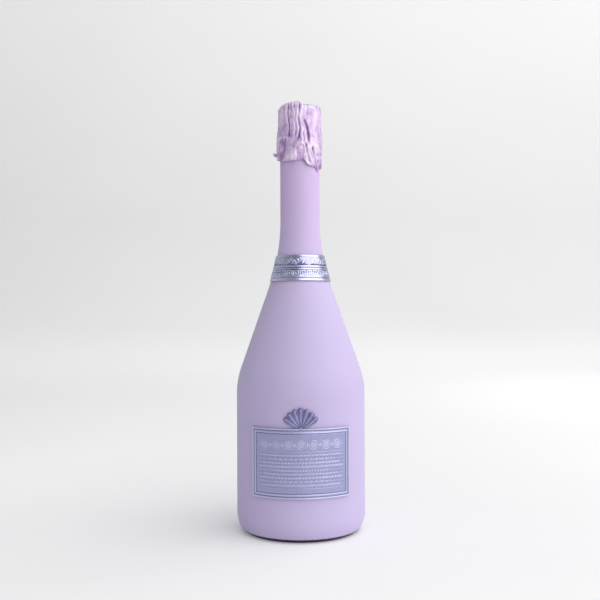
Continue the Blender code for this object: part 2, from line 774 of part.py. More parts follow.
def wrapped(name, outline, seam, finish):
    """Closed outline of (radius, height) points swept round the neck, open at the back."""
    mesh = bmesh.new()
    rings = []
    for step in range(ROUND_STEPS + 1):
        azimuth = (2 * math.pi - seam) * (step / ROUND_STEPS - 0.5)
        rings.append([mesh.verts.new(at(azimuth, *point)) for point in outline])
    for first, second in zip(rings, rings[1:]):
        bridge(mesh, first, second)
    mesh.faces.new(rings[0])
    mesh.faces.new(rings[-1])
    return mesh_object(name, mesh, finish)


def band_wall(low, high, proud):
    """Outline just off the flare between two heights, with the glass's own points."""
    heights = [low] + [height for _, height in OUTER_WALL if low < height < high] + [high]
    return [(radius_at(OUTER_WALL, height) + proud, height) for height in heights]


def make_band(glue):
    """Embossed band in two tiers and its film."""
    top = BAND_BOTTOM + BAND_HEIGHT
    face = []
    for height_share, thickness_share in BAND_RELIEF_SHARES:
        height = BAND_BOTTOM + BAND_HEIGHT * height_share
        proud = STANDOFF + BAND_THICKNESS * thickness_share
        face.append((radius_at(OUTER_WALL, height) + proud, height))
    back = band_wall(BAND_BOTTOM, top, STANDOFF)
    seam = BAND_SEAM / NECK_RADIUS
    metal = material("band_metal", (150, 154, 196), 0.25, 1.0)
    wrapped("neck_band", face + back[::-1], seam, metal)
    low, high = BAND_BOTTOM + FILM_INSET, top - FILM_INSET
    sheet = band_wall(low, high, FILM_OUTER) + band_wall(low, high, FILM_GAP)[::-1]
    wrapped("band_film", sheet, 2 * seam, glue)


def edge_lines(low, high, marks):
    """Grid lines along one side of the plaque with their distance from its edge."""
    inner = [(low + mark, mark) for mark in marks]
    return inner + [(high - mark, mark) for mark in marks[::-1]]


def plaque_grid():
    """Columns and rows of the plaque: place, distance from the edge, row crest or not."""
    marks = [FRAME_WIDTH * share for share, _ in FRAME_RIDGE_SHARES]
    half = PLAQUE_WIDTH / 2
    columns = edge_lines(-half, half, marks)
    field_half = half - FRAME_WIDTH
    for step in range(1, FIELD_COLUMNS):
        columns.append((field_half * (2 * step / FIELD_COLUMNS - 1), half))
    rows = [(place, mark, 0) for place, mark in edge_lines(PLAQUE_BOTTOM, PLAQUE_TOP, marks)]
    low = PLAQUE_BOTTOM + FRAME_WIDTH
    pitch = (PLAQUE_HEIGHT - 2 * FRAME_WIDTH) / (2 * ROW_COUNT)
    rows += [(low + pitch * step, half, step % 2) for step in range(1, 2 * ROW_COUNT)]
    return sorted(columns), sorted(rows)


def frame_ridge(distance):
    """Whether the frame's ridge is up at a distance from the plaque's edge."""
    for share, ridge in FRAME_RIDGE_SHARES:
        if math.isclose(distance, FRAME_WIDTH * share, rel_tol=MATCH_SHARE):
            return ridge
    return 0


def make_plaque_plate(finish):
    """Curved plate with its double frame and rows of fine relief."""
    columns, rows = plaque_grid()
    mesh = bmesh.new()
    grid = []
    for along, from_side in columns:
        line = []
        for height, from_edge, crest in rows:
            ridge = FRAME_RIDGE * frame_ridge(min(from_side, from_edge))
            in_field = from_side > FRAME_WIDTH and from_edge > FRAME_WIDTH
            ridge += ROW_RIDGE * crest if in_field else 0
            line.append(mesh.verts.new(on_wall(along, height, STANDOFF + PLAQUE_THICKNESS + ridge)))
        grid.append(line)
    for first, second in zip(grid, grid[1:]):
        for row in range(len(rows) - 1):
            mesh.faces.new((first[row], second[row], second[row + 1], first[row + 1]))
    back = [[mesh.verts.new(on_wall(along, height, STANDOFF)) for height in (PLAQUE_BOTTOM, PLAQUE_TOP)]
            for along, _ in columns]
    for index in range(len(columns) - 1):
        first, second = back[index], back[index + 1]
        mesh.faces.new((first[0], second[0], second[1], first[1]))
        for row, end in ((0, 0), (-1, 1)):
            mesh.faces.new((first[end], second[end], grid[index + 1][row], grid[index][row]))
    mesh.faces.new(grid[0] + back[0][::-1])
    mesh.faces.new(grid[-1] + back[-1][::-1])
    return mesh_object("plaque", mesh, finish)


def crest_reach(turn):
    """Length of the fan at an angle from upright: longest in the middle, a notch between petals."""
    side = abs(turn) / CREST_HALF_ANGLE
    length = 1 - (1 - CREST_SIDE_SHARE) * side
    return CREST_HEIGHT * (length - CREST_NOTCH_SHARE * (1 - petal_share(turn)) ** 2)


def petal_share(turn):
    """Place across a petal: 1 on its ridge, 0 between two petals."""
    phase = (turn / CREST_HALF_ANGLE + 1) / 2 * CREST_PETALS
    return 1 - abs(2 * (phase % 1) - 1) if 0 < phase < CREST_PETALS else 0


def make_crest():
    """Fan of petals on a rounded foot, bent to the body's wall."""
    mesh = bmesh.new()
    foot = PLAQUE_TOP - CREST_DROP
    steps = CREST_PETALS * CREST_PETAL_STEPS
    back_proud = STANDOFF + CREST_SINK
    front, back = [], []
    for step in range(steps + 1):
        turn = CREST_HALF_ANGLE * (2 * step / steps - 1)
        front_line, back_line = [], []
        for share in CREST_RING_SHARES:
            reach = crest_reach(turn) * share
            along, height = reach * math.sin(turn), foot + reach * math.cos(turn)
            swell = math.sin(math.pi * (CREST_SWELL_FROM_SHARE + CREST_SWELL_OVER_SHARE * share))
            proud = back_proud + CREST_THICKNESS + CREST_RELIEF * petal_share(turn) * swell
            front_line.append(mesh.verts.new(on_wall(along, height, proud)))
            back_line.append(mesh.verts.new(on_wall(along, height, back_proud)))
        front.append(front_line)
        back.append(back_line)
    for skin in (front, back):
        centre = mesh.verts.new(on_wall(0, foot, back_proud + (CREST_THICKNESS if skin is front else 0)))
        for first, second in zip(skin, skin[1:]):
            mesh.faces.new((centre, first[0], second[0]))
            for low, high in zip(range(len(first)), range(1, len(first))):
                mesh.faces.new((first[low], first[high], second[high], second[low]))
        skin.append(centre)
    for first, second in zip(range(steps), range(1, steps + 1)):
        mesh.faces.new((front[first][-1], front[second][-1], back[second][-1], back[first][-1]))
    for end in (0, steps):
        front_side = [front[-1]] + front[end]
        back_side = [back[-1]] + back[end]
        mesh.faces.new(front_side + back_side[::-1])
    return mesh_object("crest_tool", mesh)


def make_plaque():
    """Plaque with its crest in one solid."""
    plate = make_plaque_plate(material("plaque_metal", (158, 156, 198), 0.35, 0.9))
    unite(plate, [make_crest()])
    return plate


def make_plaque_film(glue):
    """Adhesive film behind the plaque."""
    half = PLAQUE_WIDTH / 2 - FILM_INSET
    low, high = PLAQUE_BOTTOM + FILM_INSET, PLAQUE_TOP - FILM_INSET
    mesh = bmesh.new()
    rings = []
    for step in range(FIELD_COLUMNS + 1):
        along = half * (2 * step / FIELD_COLUMNS - 1)
        corners = ((low, FILM_GAP), (high, FILM_GAP), (high, FILM_OUTER), (low, FILM_OUTER))
        rings.append([mesh.verts.new(on_wall(along, *corner)) for corner in corners])
    for first, second in zip(rings, rings[1:]):
        bridge(mesh, first, second)
    mesh.faces.new(rings[0])
    mesh.faces.new(rings[-1])
    return mesh_object("plaque_film", mesh, glue)


def build():
    """Whole bottle, with an empty on the axis of each joint."""
    for old in list(bpy.data.objects):
        bpy.data.objects.remove(old)
    make_glass()
    make_wine()
    cork = make_cork()
    cage = [make_cage_cap(), make_cage_wire(), make_cage_belt()]
    hood = make_hood()
    tab = make_tab()
    glue = material("adhesive_film", (226, 226, 222), 0.6)
    make_band(glue)
    make_plaque()
    make_plaque_film(glue)
    carry(cork, "cork_slide", Vector((0, 0, CORK_FOOT)))
    carry(cage, "cage_slide", Vector((0, 0, BELT_HEIGHT)))
    carry([hood], "hood_slide", Vector((0, 0, HOOD_HEM)))
    carry([tab], "tab_hinge", tab_root())


build()
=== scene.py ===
import math

import bpy
import numpy as np
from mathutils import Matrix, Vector
from mathutils.bvhtree import BVHTree
from mathutils.geometry import delaunay_2d_cdt


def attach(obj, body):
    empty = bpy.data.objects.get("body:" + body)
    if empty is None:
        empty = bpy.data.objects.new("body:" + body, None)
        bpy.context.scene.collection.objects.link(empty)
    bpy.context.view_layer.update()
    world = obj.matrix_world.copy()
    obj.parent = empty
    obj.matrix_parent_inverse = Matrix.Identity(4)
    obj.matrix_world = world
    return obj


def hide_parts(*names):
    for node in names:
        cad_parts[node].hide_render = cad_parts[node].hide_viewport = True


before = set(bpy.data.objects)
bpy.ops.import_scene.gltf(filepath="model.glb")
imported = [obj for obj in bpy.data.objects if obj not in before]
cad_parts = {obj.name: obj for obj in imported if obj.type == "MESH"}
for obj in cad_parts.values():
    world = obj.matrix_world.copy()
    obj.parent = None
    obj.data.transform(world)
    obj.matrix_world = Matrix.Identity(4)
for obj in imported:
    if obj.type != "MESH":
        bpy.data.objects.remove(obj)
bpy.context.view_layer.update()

# Lengths are in millimetres until a mesh is made
MM = 0.001
TAU = 2 * math.pi

# Glass, as in the part's source
BODY = 47.5
SHOULDER_HEIGHT, SHOULDER_SWEEP = 100.8, 60.0
CONE = math.radians(19.4)
FLARE = 151.0
NECK = 14.65
WALL = 4.3
BORE = 9.2
HEEL = 20.2
HEEL_SWEEP = math.radians(38.5)
LEDGE_TOP = 1.5
RING_WIDTH, RING_STEP = 4.9, 1.3
RING_OUTER = BODY - HEEL * (1 - math.cos(HEEL_SWEEP)) - RING_STEP
RING_INNER = RING_OUTER - RING_WIDTH
PUNT_TOP, CAVITY_FOOT = 30, 37.5
CAVITY_WIDTH, CAVITY_FLOOR, VALLEY = 38.1, 7.0, 4.1
NECK_TOP = 273.95
GROOVE, UPPER_GROOVE = 12.9, 13.3
COLLAR, COLLAR_FOOT, COLLAR_TOP, COLLAR_EDGE = 15.0, 279.95, 282.15, 0.55
LIP, LIP_RADIUS = 293.45, 14.3
STANDOFF = 0.7

# Foot: count of dots round it, heights where dots and notches start and end, and the heights of unlacquered
# glass at the foot and below the lip; at the foot this dark band is also painted shade where the bottle
# meets the floor
KNURLS = 66
DOT_ROWS = ((3.0, 3.5), (4.3, 4.9))
NOTCH_ROWS = ((0.15, 0.5), (1.3, 1.7))
DOT_HEIGHT, NOTCH_DEPTH = 0.32, 0.45
BARE_AND_SHADE_FOOT, BARE_LIP = 2.9, 2.6

# Cork, cage and hood
CORK_HEAD = 15.0
CORK_EDGE = (12.5, 308.75)
CORK_TOP = 311.25
CORK_FOOT = 269.45
SHANK = 8.9
DISC = 5.5
SEAT = 0.3
LEGS = [math.radians(-18 + 90 * count) for count in range(4)]
BELT = (14.65, 278.2)
CAGE_RING = (11.2, 312.65)
CAGE_WIRE, BELT_WIRE, STRAND = 0.45, 0.43, 0.31
CAP_TOP, CAP_RISE, CAP_SHEET, CAP_RELIEF = 311.9, 1.2, 0.35, 0.16
LOOP_TURN, LOOP_RADIUS, LOOP_MIDDLE = math.radians(117), 16.05, 286.2
FOIL = 0.2
FOIL_MEAN = 16.4
CROWN, CROWN_FLOOR, CROWN_LIMIT = 313.75, 313.38, 315.28
TAB_TURN = math.radians(-119)
TAB_ROOT = (-17.27, 2.12, 278.2)
TAB_LENGTH, TAB_FOIL = 5.25, 0.07


# Mesh helpers


def wrap(value, period=TAU):
    """Value within half a period of zero."""
    return (value + period / 2) % period - period / 2


def smooth(low, high, value):
    """0 below low, 1 above high, eased between."""
    share = np.clip((value - low) / (high - low), 0, 1)
    return share * share * (3 - 2 * share)


def between(foot, head, value):
    """1 between two eased edges, each a (low, high) pair, and 0 outside."""
    return smooth(*foot, value) * (1 - smooth(*head, value))


def around(angle, radius, height):
    """Points at an azimuth, 0 at the front and growing to the right."""
    angle, radius, height = np.broadcast_arrays(angle, radius, height)
    return np.stack([radius * np.sin(angle), -radius * np.cos(angle), height], axis=-1)


def once_round(count, start=0):
    """Row of azimuths spaced evenly once round."""
    return np.linspace(start, start + TAU, count, endpoint=False)[None]


def shares(count):
    """Column of even shares of the way, which ends with 1."""
    return np.arange(1, count + 1)[:, None] / count


def columns_of(outline):
    """Radii and heights of an outline, each as a column."""
    return np.array(outline, float).T[..., None]


def table(pairs, place):
    """Value read off a line of (place, value) pairs."""
    return np.interp(place, [pair[0] for pair in pairs], [pair[1] for pair in pairs])


def arc(centre, radii, start, end, steps):
    """Points of an ellipse's arc about a (radius, height) centre."""
    return [(centre[0] + radii[0] * math.cos(turn), centre[1] + radii[1] * math.sin(turn))
            for turn in np.linspace(start, end, steps + 1)]


def softened(points, reach, steps=4):
    """Open line with its inner corners rounded off over a reach."""
    out = [points[0]]
    for before, corner, after in zip(points, points[1:], points[2:]):
        ends = []
        for other in (before, after):
            length = math.dist(corner, other)
            share = min(reach / length, 0.45) if length else 0
            ends.append([c + (o - c) * share for c, o in zip(corner, other)])
        for share in np.linspace(0, 1, steps + 1):
            near, far = (1 - share) ** 2, share ** 2
            out.append(tuple(near * a + 2 * share * (1 - share) * c + far * b
                             for a, c, b in zip(ends[0], corner, ends[1])))
    return out + [points[-1]]


def filled(points, gap):
    """Line with points added so that none are further apart than the gap."""
    out = [points[0]]
    for first, second in zip(points, points[1:]):
        count = max(1, math.ceil(math.dist(first, second) / gap))
        out += [tuple(a + (b - a) * step / count for a, b in zip(first, second))
                for step in range(1, count + 1)]
    return out


def lattice(x, y, z, seed):
    """Smooth noise from -1 to 1 on a unit lattice."""
    place = np.stack(np.broadcast_arrays(x, y, z))
    cell = np.floor(place).astype(np.int64)
    part = place - cell
    part = part * part * (3 - 2 * part)
    total = np.zeros(part.shape[1:])
    for corner in range(8):
        pick = [corner & 1, corner >> 1 & 1, corner >> 2 & 1]
        mixed = sum((cell[axis] + pick[axis]) * prime
                    for axis, prime in enumerate((73856093, 19349663, 83492791))) + seed * 2654435
        mixed = (mixed ^ (mixed >> 13)) * 1274126177
        level = ((mixed ^ (mixed >> 16)) & 65535) / 32767.5 - 1
        weight = np.prod([part[axis] if pick[axis] else 1 - part[axis] for axis in range(3)], axis=0)
        total += level * weight
    return total


def grid_faces(rows, columns, closed, start=0):
    """Quads of a grid that is given row by row, closed round if asked."""
    row, column = np.meshgrid(np.arange(rows - 1), np.arange(columns if closed else columns - 1),
                              indexing="ij")
    right = (column + 1) % columns
    base = start + row * columns
    quads = np.stack([base + column, base + right, base + columns + right, base + columns + column],
                     axis=-1)
    return quads.reshape(-1, 4).tolist()


def placed(name, data, place=(0, 0, 0)):
    """New object in the scene."""
    made = bpy.data.objects.new(name, data)
    made.location = place
    bpy.context.scene.collection.objects.link(made)
    return made


def make(name, points, faces, finishes, picks=None, marks=None):
    """Smooth object from points in millimetres; marks are values kept on its points."""
    mesh = bpy.data.meshes.new(name)
    mesh.from_pydata((np.asarray(points) * MM).tolist(), [], faces)
    for finish in finishes:
        mesh.materials.append(finish)
    mesh.polygons.foreach_set("use_smooth", [True] * len(mesh.polygons))
    if picks is not None:
        mesh.polygons.foreach_set("material_index", picks)
    for mark, values in (marks or {}).items():
        kept = mesh.attributes.new(mark, "FLOAT", "POINT")
        kept.data.foreach_set("value", np.asarray(values, np.float32).ravel())
    mesh.validate()
    mesh.update()
    return placed(name, mesh)


def turned(rings, tips):
    """Points and faces of a turned surface, closed by points on the axis at the tips' heights."""
    rows, columns = rings.shape[:2]
    count = rows * columns
    last = count - columns
    points = np.vstack([rings.reshape(-1, 3), [(0, 0, tip) for tip in tips]])
    ring = [(k, (k + 1) % columns) for k in range(columns)]
    faces = grid_faces(rows, columns, True) + [(b, a, count) for a, b in ring]
    return points, faces + [(last + a, last + b, count + 1) for a, b in ring]


def hoop(centre, first, second, radius, steps):
    """Closed circle of points on two axes."""
    turns = once_round(steps).T
    return centre + radius * (np.cos(turns) * first + np.sin(turns) * second)


def carried(path, tangents, guide):
    """Each point of a path with two axes across it, which don't twist on the way."""
    tangents = tangents / np.linalg.norm(tangents, axis=1)[:, None]
    normal = np.cross(tangents[0], guide)
    for point, tangent in zip(path, tangents):
        normal = normal - tangent * normal.dot(tangent)
        normal /= np.linalg.norm(normal)
        yield point, normal, np.cross(tangent, normal)


def tube(path, radius, sides, closed=False):
    """Points and faces of a round wire along a path."""
    tangents = np.roll(path, -1, 0) - np.roll(path, 1, 0) if closed else np.gradient(path, axis=0)
    spots = carried(path, tangents, (0.31, 0.52, 0.79))
    points = np.concatenate([hoop(*spot, radius, sides) for spot in spots])
    faces = grid_faces(len(path), sides, True)
    last = (len(path) - 1) * sides
    if closed:
        faces += [(last + k, last + (k + 1) % sides, (k + 1) % sides, k) for k in range(sides)]
    else:
        faces += [list(range(sides))[::-1], list(range(last, last + sides))]
    return points, faces


def twisted(path, offset, radius, pitch, phase):
    """Two strands wound round a path."""
    lengths = np.linalg.norm(np.diff(path, axis=0), axis=1)
    spins = phase + TAU / pitch * np.append(0, np.cumsum(lengths))
    spots = carried(path, np.gradient(path, axis=0), (0, 0, 1))
    shift = offset * np.array([math.cos(spin) * normal + math.sin(spin) * side
                               for spin, (_, normal, side) in zip(spins, spots)])
    return [tube(strand, radius, 8) for strand in (path + shift, path - shift)]


def together(parts):
    """Points and faces of several shells in one mesh."""
    points, faces = [], []
    start = 0
    for part_points, part_faces in parts:
        points.append(part_points)
        faces += [[corner + start for corner in face] for face in part_faces]
        start += len(part_points)
    return np.concatenate(points), faces


# Outlines


def wall_line(inset, neck, steps):
    """Shoulder, cone and flare, bottom to top."""
    reach = SHOULDER_SWEEP - inset
    flare = FLARE + inset
    points = arc((BODY - inset - reach, SHOULDER_HEIGHT), (reach, reach), 0, CONE, steps)
    foot = points[-1]
    top = neck + flare * (1 - math.cos(CONE))
    top_height = foot[1] + (foot[0] - top) / math.tan(CONE)
    neck_foot = top_height + flare * math.sin(CONE)
    return points + [(neck + flare * (1 - math.cos(turn)), neck_foot - flare * math.sin(turn))
                     for turn in np.linspace(CONE, 0, steps + 1)]


OUTER = wall_line(0, NECK, 24)
OUTER_RADII, OUTER_HEIGHTS = zip(*OUTER)


def wall_at(height):
    """Outer radius of the glass at a height on the body or neck."""
    return np.interp(height, OUTER_HEIGHTS, OUTER_RADII)


# Materials


def srgb(*levels):
    """Linear colour from sRGB levels of 0 to 255."""
    shares = [level / 255 for level in levels]
    line = [s / 12.92 if s <= 0.04045 else ((s + 0.055) / 1.055) ** 2.4 for s in shares]
    return (*line, 1.0)


class Finish:
    """A material or a world, and short calls that add its nodes."""

    def __init__(self, name, world=False):
        self.owner = bpy.data.worlds.new(name) if world else bpy.data.materials.new(name)
        self.owner.use_nodes = True
        self.tree = self.owner.node_tree
        self.shader = self.tree.nodes["Background" if world else "Principled BSDF"]
        self.place = self.add("TexCoord", {})["Generated" if world else "Object"]

    def add(self, kind, wired, **settings):
        """Outputs of a new node; wired gives inputs by name or number, each a value or an output."""
        made = self.tree.nodes.new("ShaderNode" + kind)
        for key, value in settings.items():
            setattr(made, key, value)
        self.wire(made, wired)
        return made.outputs

    def wire(self, made, wired):
        """Sets or links inputs of a node."""
        for key, value in wired.items():
            if isinstance(value, bpy.types.NodeSocket):
                self.tree.links.new(value, made.inputs[key])
            else:
                made.inputs[key].default_value = value

    def stretched(self, stretch):
        """Surface position with its axes stretched."""
        return self.add("Mapping", {"Vector": self.place, "Scale": stretch})[0]

    def noise(self, scale, detail, stretch=(1, 1, 1), warp=0.0):
        """Noise from 0 to 1 with a number of features per metre."""
        return self.add("TexNoise", {"Vector": self.stretched(stretch), "Scale": scale,
                                     "Detail": detail, "Distortion": warp})["Fac"]

    def cloud(self, scale, detail, low=0.0, high=1.0, warp=0.0):
        """Noise stretched to run from one value to another."""
        return self.span(self.noise(scale, detail, warp=warp), 0.3, 0.7, low, high)

    def cells(self, scale, feature="F1", output="Distance", stretch=(1, 1, 1)):
        """Voronoi cells with a number of cells per metre."""
        return self.add("TexVoronoi", {"Vector": self.stretched(stretch), "Scale": scale},
                        feature=feature)[output]

    def mark(self, name):
        """Value kept on the mesh's points."""
        return self.add("Attribute", {}, attribute_name=name)["Fac"]

    def axis(self, which):
        """A surface position's place across, away from the front or above the table, in metres."""
        return self.add("SeparateXYZ", {0: self.place})[which]

    def calc(self, operation, *values):
        """Arithmetic on values and outputs."""
        return self.add("Math", dict(enumerate(values)), operation=operation)[0]

    def span(self, value, low, high, to_low=0.0, to_high=1.0):
        """Value moved from one range to another and held there."""
        return self.add("MapRange", {0: value, 1: low, 2: high, 3: to_low, 4: to_high})[0]

    def mix(self, share, first, second, weight=None):
        """Colour mixed by a share, or by a share times a weight."""
        if weight:
            share = self.calc("MULTIPLY", share, weight)
        return self.add("Mix", {0: share, 6: first, 7: second}, data_type="RGBA")[2]

    def ramp(self, value, *stops):
        """Colour ramp of (place, colour) stops."""
        shown = self.add("ValToRGB", {0: value})[0]
        line = shown.node.color_ramp.elements
        while len(line) < len(stops):
            line.new(0.5)
        for element, (place, colour) in zip(line, stops):
            element.position = place
            element.color = colour
        return shown

    def done(self, colour, rough, bumps, **inputs):
        """Sets the shader's inputs and returns the material; an input's name has underscores for spaces.

        Bumps are laid over each other: (height output, distance in metres, strength).
        """
        self.wire(self.shader, {"Base Color": colour, "Roughness": rough})
        self.wire(self.shader, {name.replace("_", " "): value for name, value in inputs.items()})
        below = {}
        for level, distance, strength in bumps:
            wired = {"Height": level, "Distance": distance, "Strength": strength, **below}
            below = {"Normal": self.add("Bump", wired)[0]}
        self.wire(self.shader, below)
        return self.owner


def lacquer_finish():
    """Matt lavender lacquer, turned dark purple where the points are marked: unlacquered glass, painted
    shade along the foot where it meets the floor, and lacquer wear with painted shade on the dots of the
    bearing ring.
    """
    f = Finish("lacquered_glass")
    fine = f.noise(5200, 2)
    tint = f.mix(f.span(f.noise(14, 2), 0.35, 0.65), srgb(204, 190, 230), srgb(207, 194, 233))
    tint = f.mix(f.span(f.axis(2), 0.17, 0.24), tint, srgb(213, 190, 233))
    tint = f.mix(f.span(fine, 0.3, 0.7, 0.0, 0.10), tint, srgb(226, 214, 246))
    tint = f.mix(f.span(f.cells(900), 0.0, 0.10, 1.0, 0.0), tint, srgb(160, 146, 196), 0.10)
    # The marked points take the dark purple: unlacquered glass, and painted shade along the foot and on the
    # ring's dots.
    ragged = f.calc("ADD", f.mark("bare_and_shade"), f.span(f.noise(900, 4), 0.2, 0.8, -0.28, 0.28))
    bare_and_shade = f.span(ragged, 0.44, 0.56)
    glass_and_shade_tone = f.mix(f.cloud(160, 2), srgb(50, 30, 70), srgb(74, 48, 98))
    matt = f.calc("MULTIPLY", f.cloud(700, 3, 0.46, 0.54), f.calc("SUBTRACT", 1.0, bare_and_shade))
    rough = f.calc("ADD", matt, f.calc("MULTIPLY", bare_and_shade, 0.26))
    bumps = [(f.noise(420, 2), 0.0004, 0.05), (fine, 0.00006, 0.22), (bare_and_shade, -0.00006, 0.5)]
    return f.done(f.mix(bare_and_shade, tint, glass_and_shade_tone), rough, bumps, Specular_IOR_Level=0.42)


def cloudy_finish(name, dark, light, size, sheen, bump, **inputs):
    """Two clouded colours, with a clouded sheen and a fine bump; sizes are features per metre."""
    f = Finish(name)
    size_of_bump, *depth = bump
    return f.done(f.mix(f.cloud(size, 3), dark, light), f.cloud(*sheen),
                  [(f.noise(size_of_bump, 2), *depth)], **inputs)


def glass_finish():
    """Dark glass of the bore, the cavity and the punt, nearly opaque at this thickness."""
    return cloudy_finish("dark_glass", srgb(18, 26, 20), srgb(34, 42, 33), 90, (300, 3, 0.07, 0.13),
                         (120, 0.0006, 0.12), Coat_Weight=0.3, Coat_Roughness=0.05)


def steel_finish():
    """Drawn steel wire with fine scratches."""
    return cloudy_finish("cage_steel", srgb(176, 168, 190), srgb(206, 200, 216), 380,
                         (1500, 3, 0.17, 0.33), (4200, 0.00003, 0.4), Metallic=1.0)


def foil_finish(name, core, low, high, edge, metal, rough):
    """Crumpled foil, its colour painted: paler along its ridges as painted highlight, darker in its folds
    as painted shade.
    """
    f = Finish(name)
    # The ramp turns the crest mark into painted shade in the folds and hollows and painted highlight on the
    # ridges.
    wear_and_painted_light = f.calc("ADD", f.mark("crest"), f.cloud(700, 3, -0.08, 0.08))
    colour = f.ramp(wear_and_painted_light, (0.05, core), (0.30, low), (0.52, high), (0.86, edge))
    colour = f.mix(f.cloud(220, 3, warp=0.6), colour, low, 0.14)
    creases = f.span(f.cells(620, "DISTANCE_TO_EDGE", stretch=(1, 1, 0.6)), 0.0, 0.12)
    bumps = [(f.noise(480, 3, warp=0.8), 0.0005, 0.32), (creases, 0.00008, 0.35),
             (f.noise(3600, 2), 0.00004, 0.25)]
    return f.done(colour, f.cloud(900, 3, rough - 0.05, rough + 0.06), bumps, Metallic=metal)


def pressed_finish(name, deep, face, crest, metal, rough):
    """Embossed metal, painted dark in the recesses as shade and pale on the relief as highlight."""
    f = Finish(name)
    # The ramp paints shade in the recesses and highlight on the relief.
    level = f.calc("ADD", f.mark("relief"), f.cloud(1400, 3, -0.10, 0.10))
    colour = f.ramp(level, (0.0, deep), (0.42, face), (1.0, crest))
    colour = f.mix(f.cloud(70, 3, warp=1.2), colour, face, 0.25)
    brushed = f.noise(2600, 3, stretch=(1, 1, 0.06))
    return f.done(colour, f.cloud(260, 4, rough - 0.05, rough + 0.05),
                  [(f.noise(900, 3), 0.00012, 0.22), (brushed, 0.00003, 0.25)], Metallic=metal)


def cap_finish():
    """Lavender lacquered tinplate, rubbed to metal on its embossing."""
    f = Finish("cap_metal")
    wear_and_painted_light = f.calc("ADD", f.mark("relief"), f.cloud(1100, 4, -0.22, 0.22))
    rubbed = f.span(wear_and_painted_light, 0.72, 0.95)
    lacquer = f.mix(f.cloud(160, 2), srgb(186, 166, 216), srgb(200, 182, 228))
    return f.done(f.mix(rubbed, lacquer, srgb(214, 212, 222)), f.cloud(600, 3, 0.26, 0.38),
                  [(f.noise(2400, 2), 0.00004, 0.3)], Metallic=f.calc("MAXIMUM", 0.55, rubbed))


def grain_finish():
    """Agglomerated cork: pressed granules of mixed browns with dark joints and pits."""
    f = Finish("pressed_cork")
    tone = f.add("SeparateColor", {0: f.cells(720, output="Color")})[0]
    colour = f.ramp(tone, (0.0, srgb(142, 102, 64)), (0.35, srgb(188, 146, 98)),
                    (0.75, srgb(206, 168, 118)), (1.0, srgb(222, 188, 140)))
    joints = f.span(f.cells(720, "DISTANCE_TO_EDGE"), 0.0, 0.09)
    pits = f.span(f.noise(900, 4), 0.60, 0.68)
    colour = f.mix(pits, f.mix(joints, srgb(112, 76, 46), colour), srgb(84, 56, 36), 0.7)
    bumps = [(joints, 0.00022, 0.6), (pits, -0.0003, 0.6), (f.noise(3800, 3), 0.0001, 0.4)]
    return f.done(colour, f.span(tone, 0.0, 1.0, 0.78, 0.9), bumps, Specular_IOR_Level=0.25)


def natural_finish():
    """Natural cork disc with rings of growth and dark pores across it."""
    f = Finish("natural_cork")
    rings = f.add("TexWave", {"Vector": f.place, "Scale": 190.0, "Distortion": 3.0, "Detail": 3.0,
                              "Detail Scale": 1.6})["Fac"]
    colour = f.ramp(rings, (0.0, srgb(196, 154, 106)), (0.6, srgb(214, 176, 126)),
                    (1.0, srgb(176, 132, 88)))
    pores = f.span(f.noise(620, 4, stretch=(1, 1, 3.2)), 0.60, 0.68)
    colour = f.mix(pores, colour, srgb(96, 64, 42), 0.75)
    return f.done(colour, f.span(rings, 0.0, 1.0, 0.76, 0.88),
                  [(pores, -0.0003, 0.6), (f.noise(3000, 3), 0.0001, 0.4)], Specular_IOR_Level=0.25)


def wine_finish():
    """Pale gold wine with fine bubbles near its level."""
    f = Finish("wine_liquid")
    swirl = f.cloud(40, 3)
    bubbles = f.span(f.cells(1300), 0.0, 0.16, 1.0, 0.0)
    colour = f.mix(swirl, srgb(214, 178, 84), srgb(228, 198, 112))
    return f.done(f.mix(bubbles, colour, srgb(246, 232, 180), 0.5), f.span(swirl, 0.0, 1.0, 0.03, 0.06),
                  [(bubbles, 0.0002, 0.3)], Transmission_Weight=0.6, IOR=1.34)


def film_finish():
    """Pale adhesive film with trapped air."""
    f = Finish("adhesive_film")
    air = f.span(f.noise(420, 3), 0.56, 0.64)
    return f.done(f.mix(air, srgb(216, 214, 206), srgb(238, 238, 234), 0.5),
                  f.span(air, 0.0, 1.0, 0.5, 0.62), [(air, 0.0001, 0.4)])


# Bottle


def bottle_outline():
    """Outline of the glass from the punt's crown round the outside and down the inside."""
    punt = arc((0, 0), (RING_INNER, PUNT_TOP), math.pi / 2, 0, 40)[1:]
    ring = softened([punt[-1], (RING_OUTER - 1.2, 0), (RING_OUTER, 0.75), (RING_OUTER, LEDGE_TOP)], 0.5, 3)
    heel_centre = (BODY - HEEL, HEEL * math.sin(HEEL_SWEEP) + LEDGE_TOP)
    heel = filled(arc(heel_centre, (HEEL, HEEL), -HEEL_SWEEP, 0, 30), 0.6)
    body = filled([heel[-1], OUTER[0]], 3.0)
    mouth = softened([
        OUTER[-1], (NECK, NECK_TOP), (GROOVE, NECK_TOP + 2.0), (GROOVE, COLLAR_FOOT),
        (COLLAR - 0.25, COLLAR_FOOT), (COLLAR, COLLAR_FOOT + COLLAR_EDGE),
        (COLLAR, COLLAR_TOP - COLLAR_EDGE), (UPPER_GROOVE, COLLAR_TOP), (UPPER_GROOVE, COLLAR_TOP + 1.8),
        (LIP_RADIUS, COLLAR_TOP + 2.3), (LIP_RADIUS, LIP - 1.0), (LIP_RADIUS - 1.0, LIP),
        (BORE + 0.6, LIP), (BORE, LIP - 0.6), (BORE, 240)], 0.5)
    outside = punt + ring[1:] + heel[1:] + body[1:] + OUTER[1:-1] + filled(mouth, 1.2)
    inner = wall_line(WALL, BORE, 16)[::-1]
    valley = arc((BODY - WALL - VALLEY, CAVITY_FLOOR + VALLEY), (VALLEY, VALLEY), 0, -math.pi / 2, 8)
    crown = arc((0, CAVITY_FLOOR), (CAVITY_WIDTH, CAVITY_FOOT - CAVITY_FLOOR), 0, math.pi / 2, 20)
    return outside, filled(inner + valley + crown[:-1], 4.0)


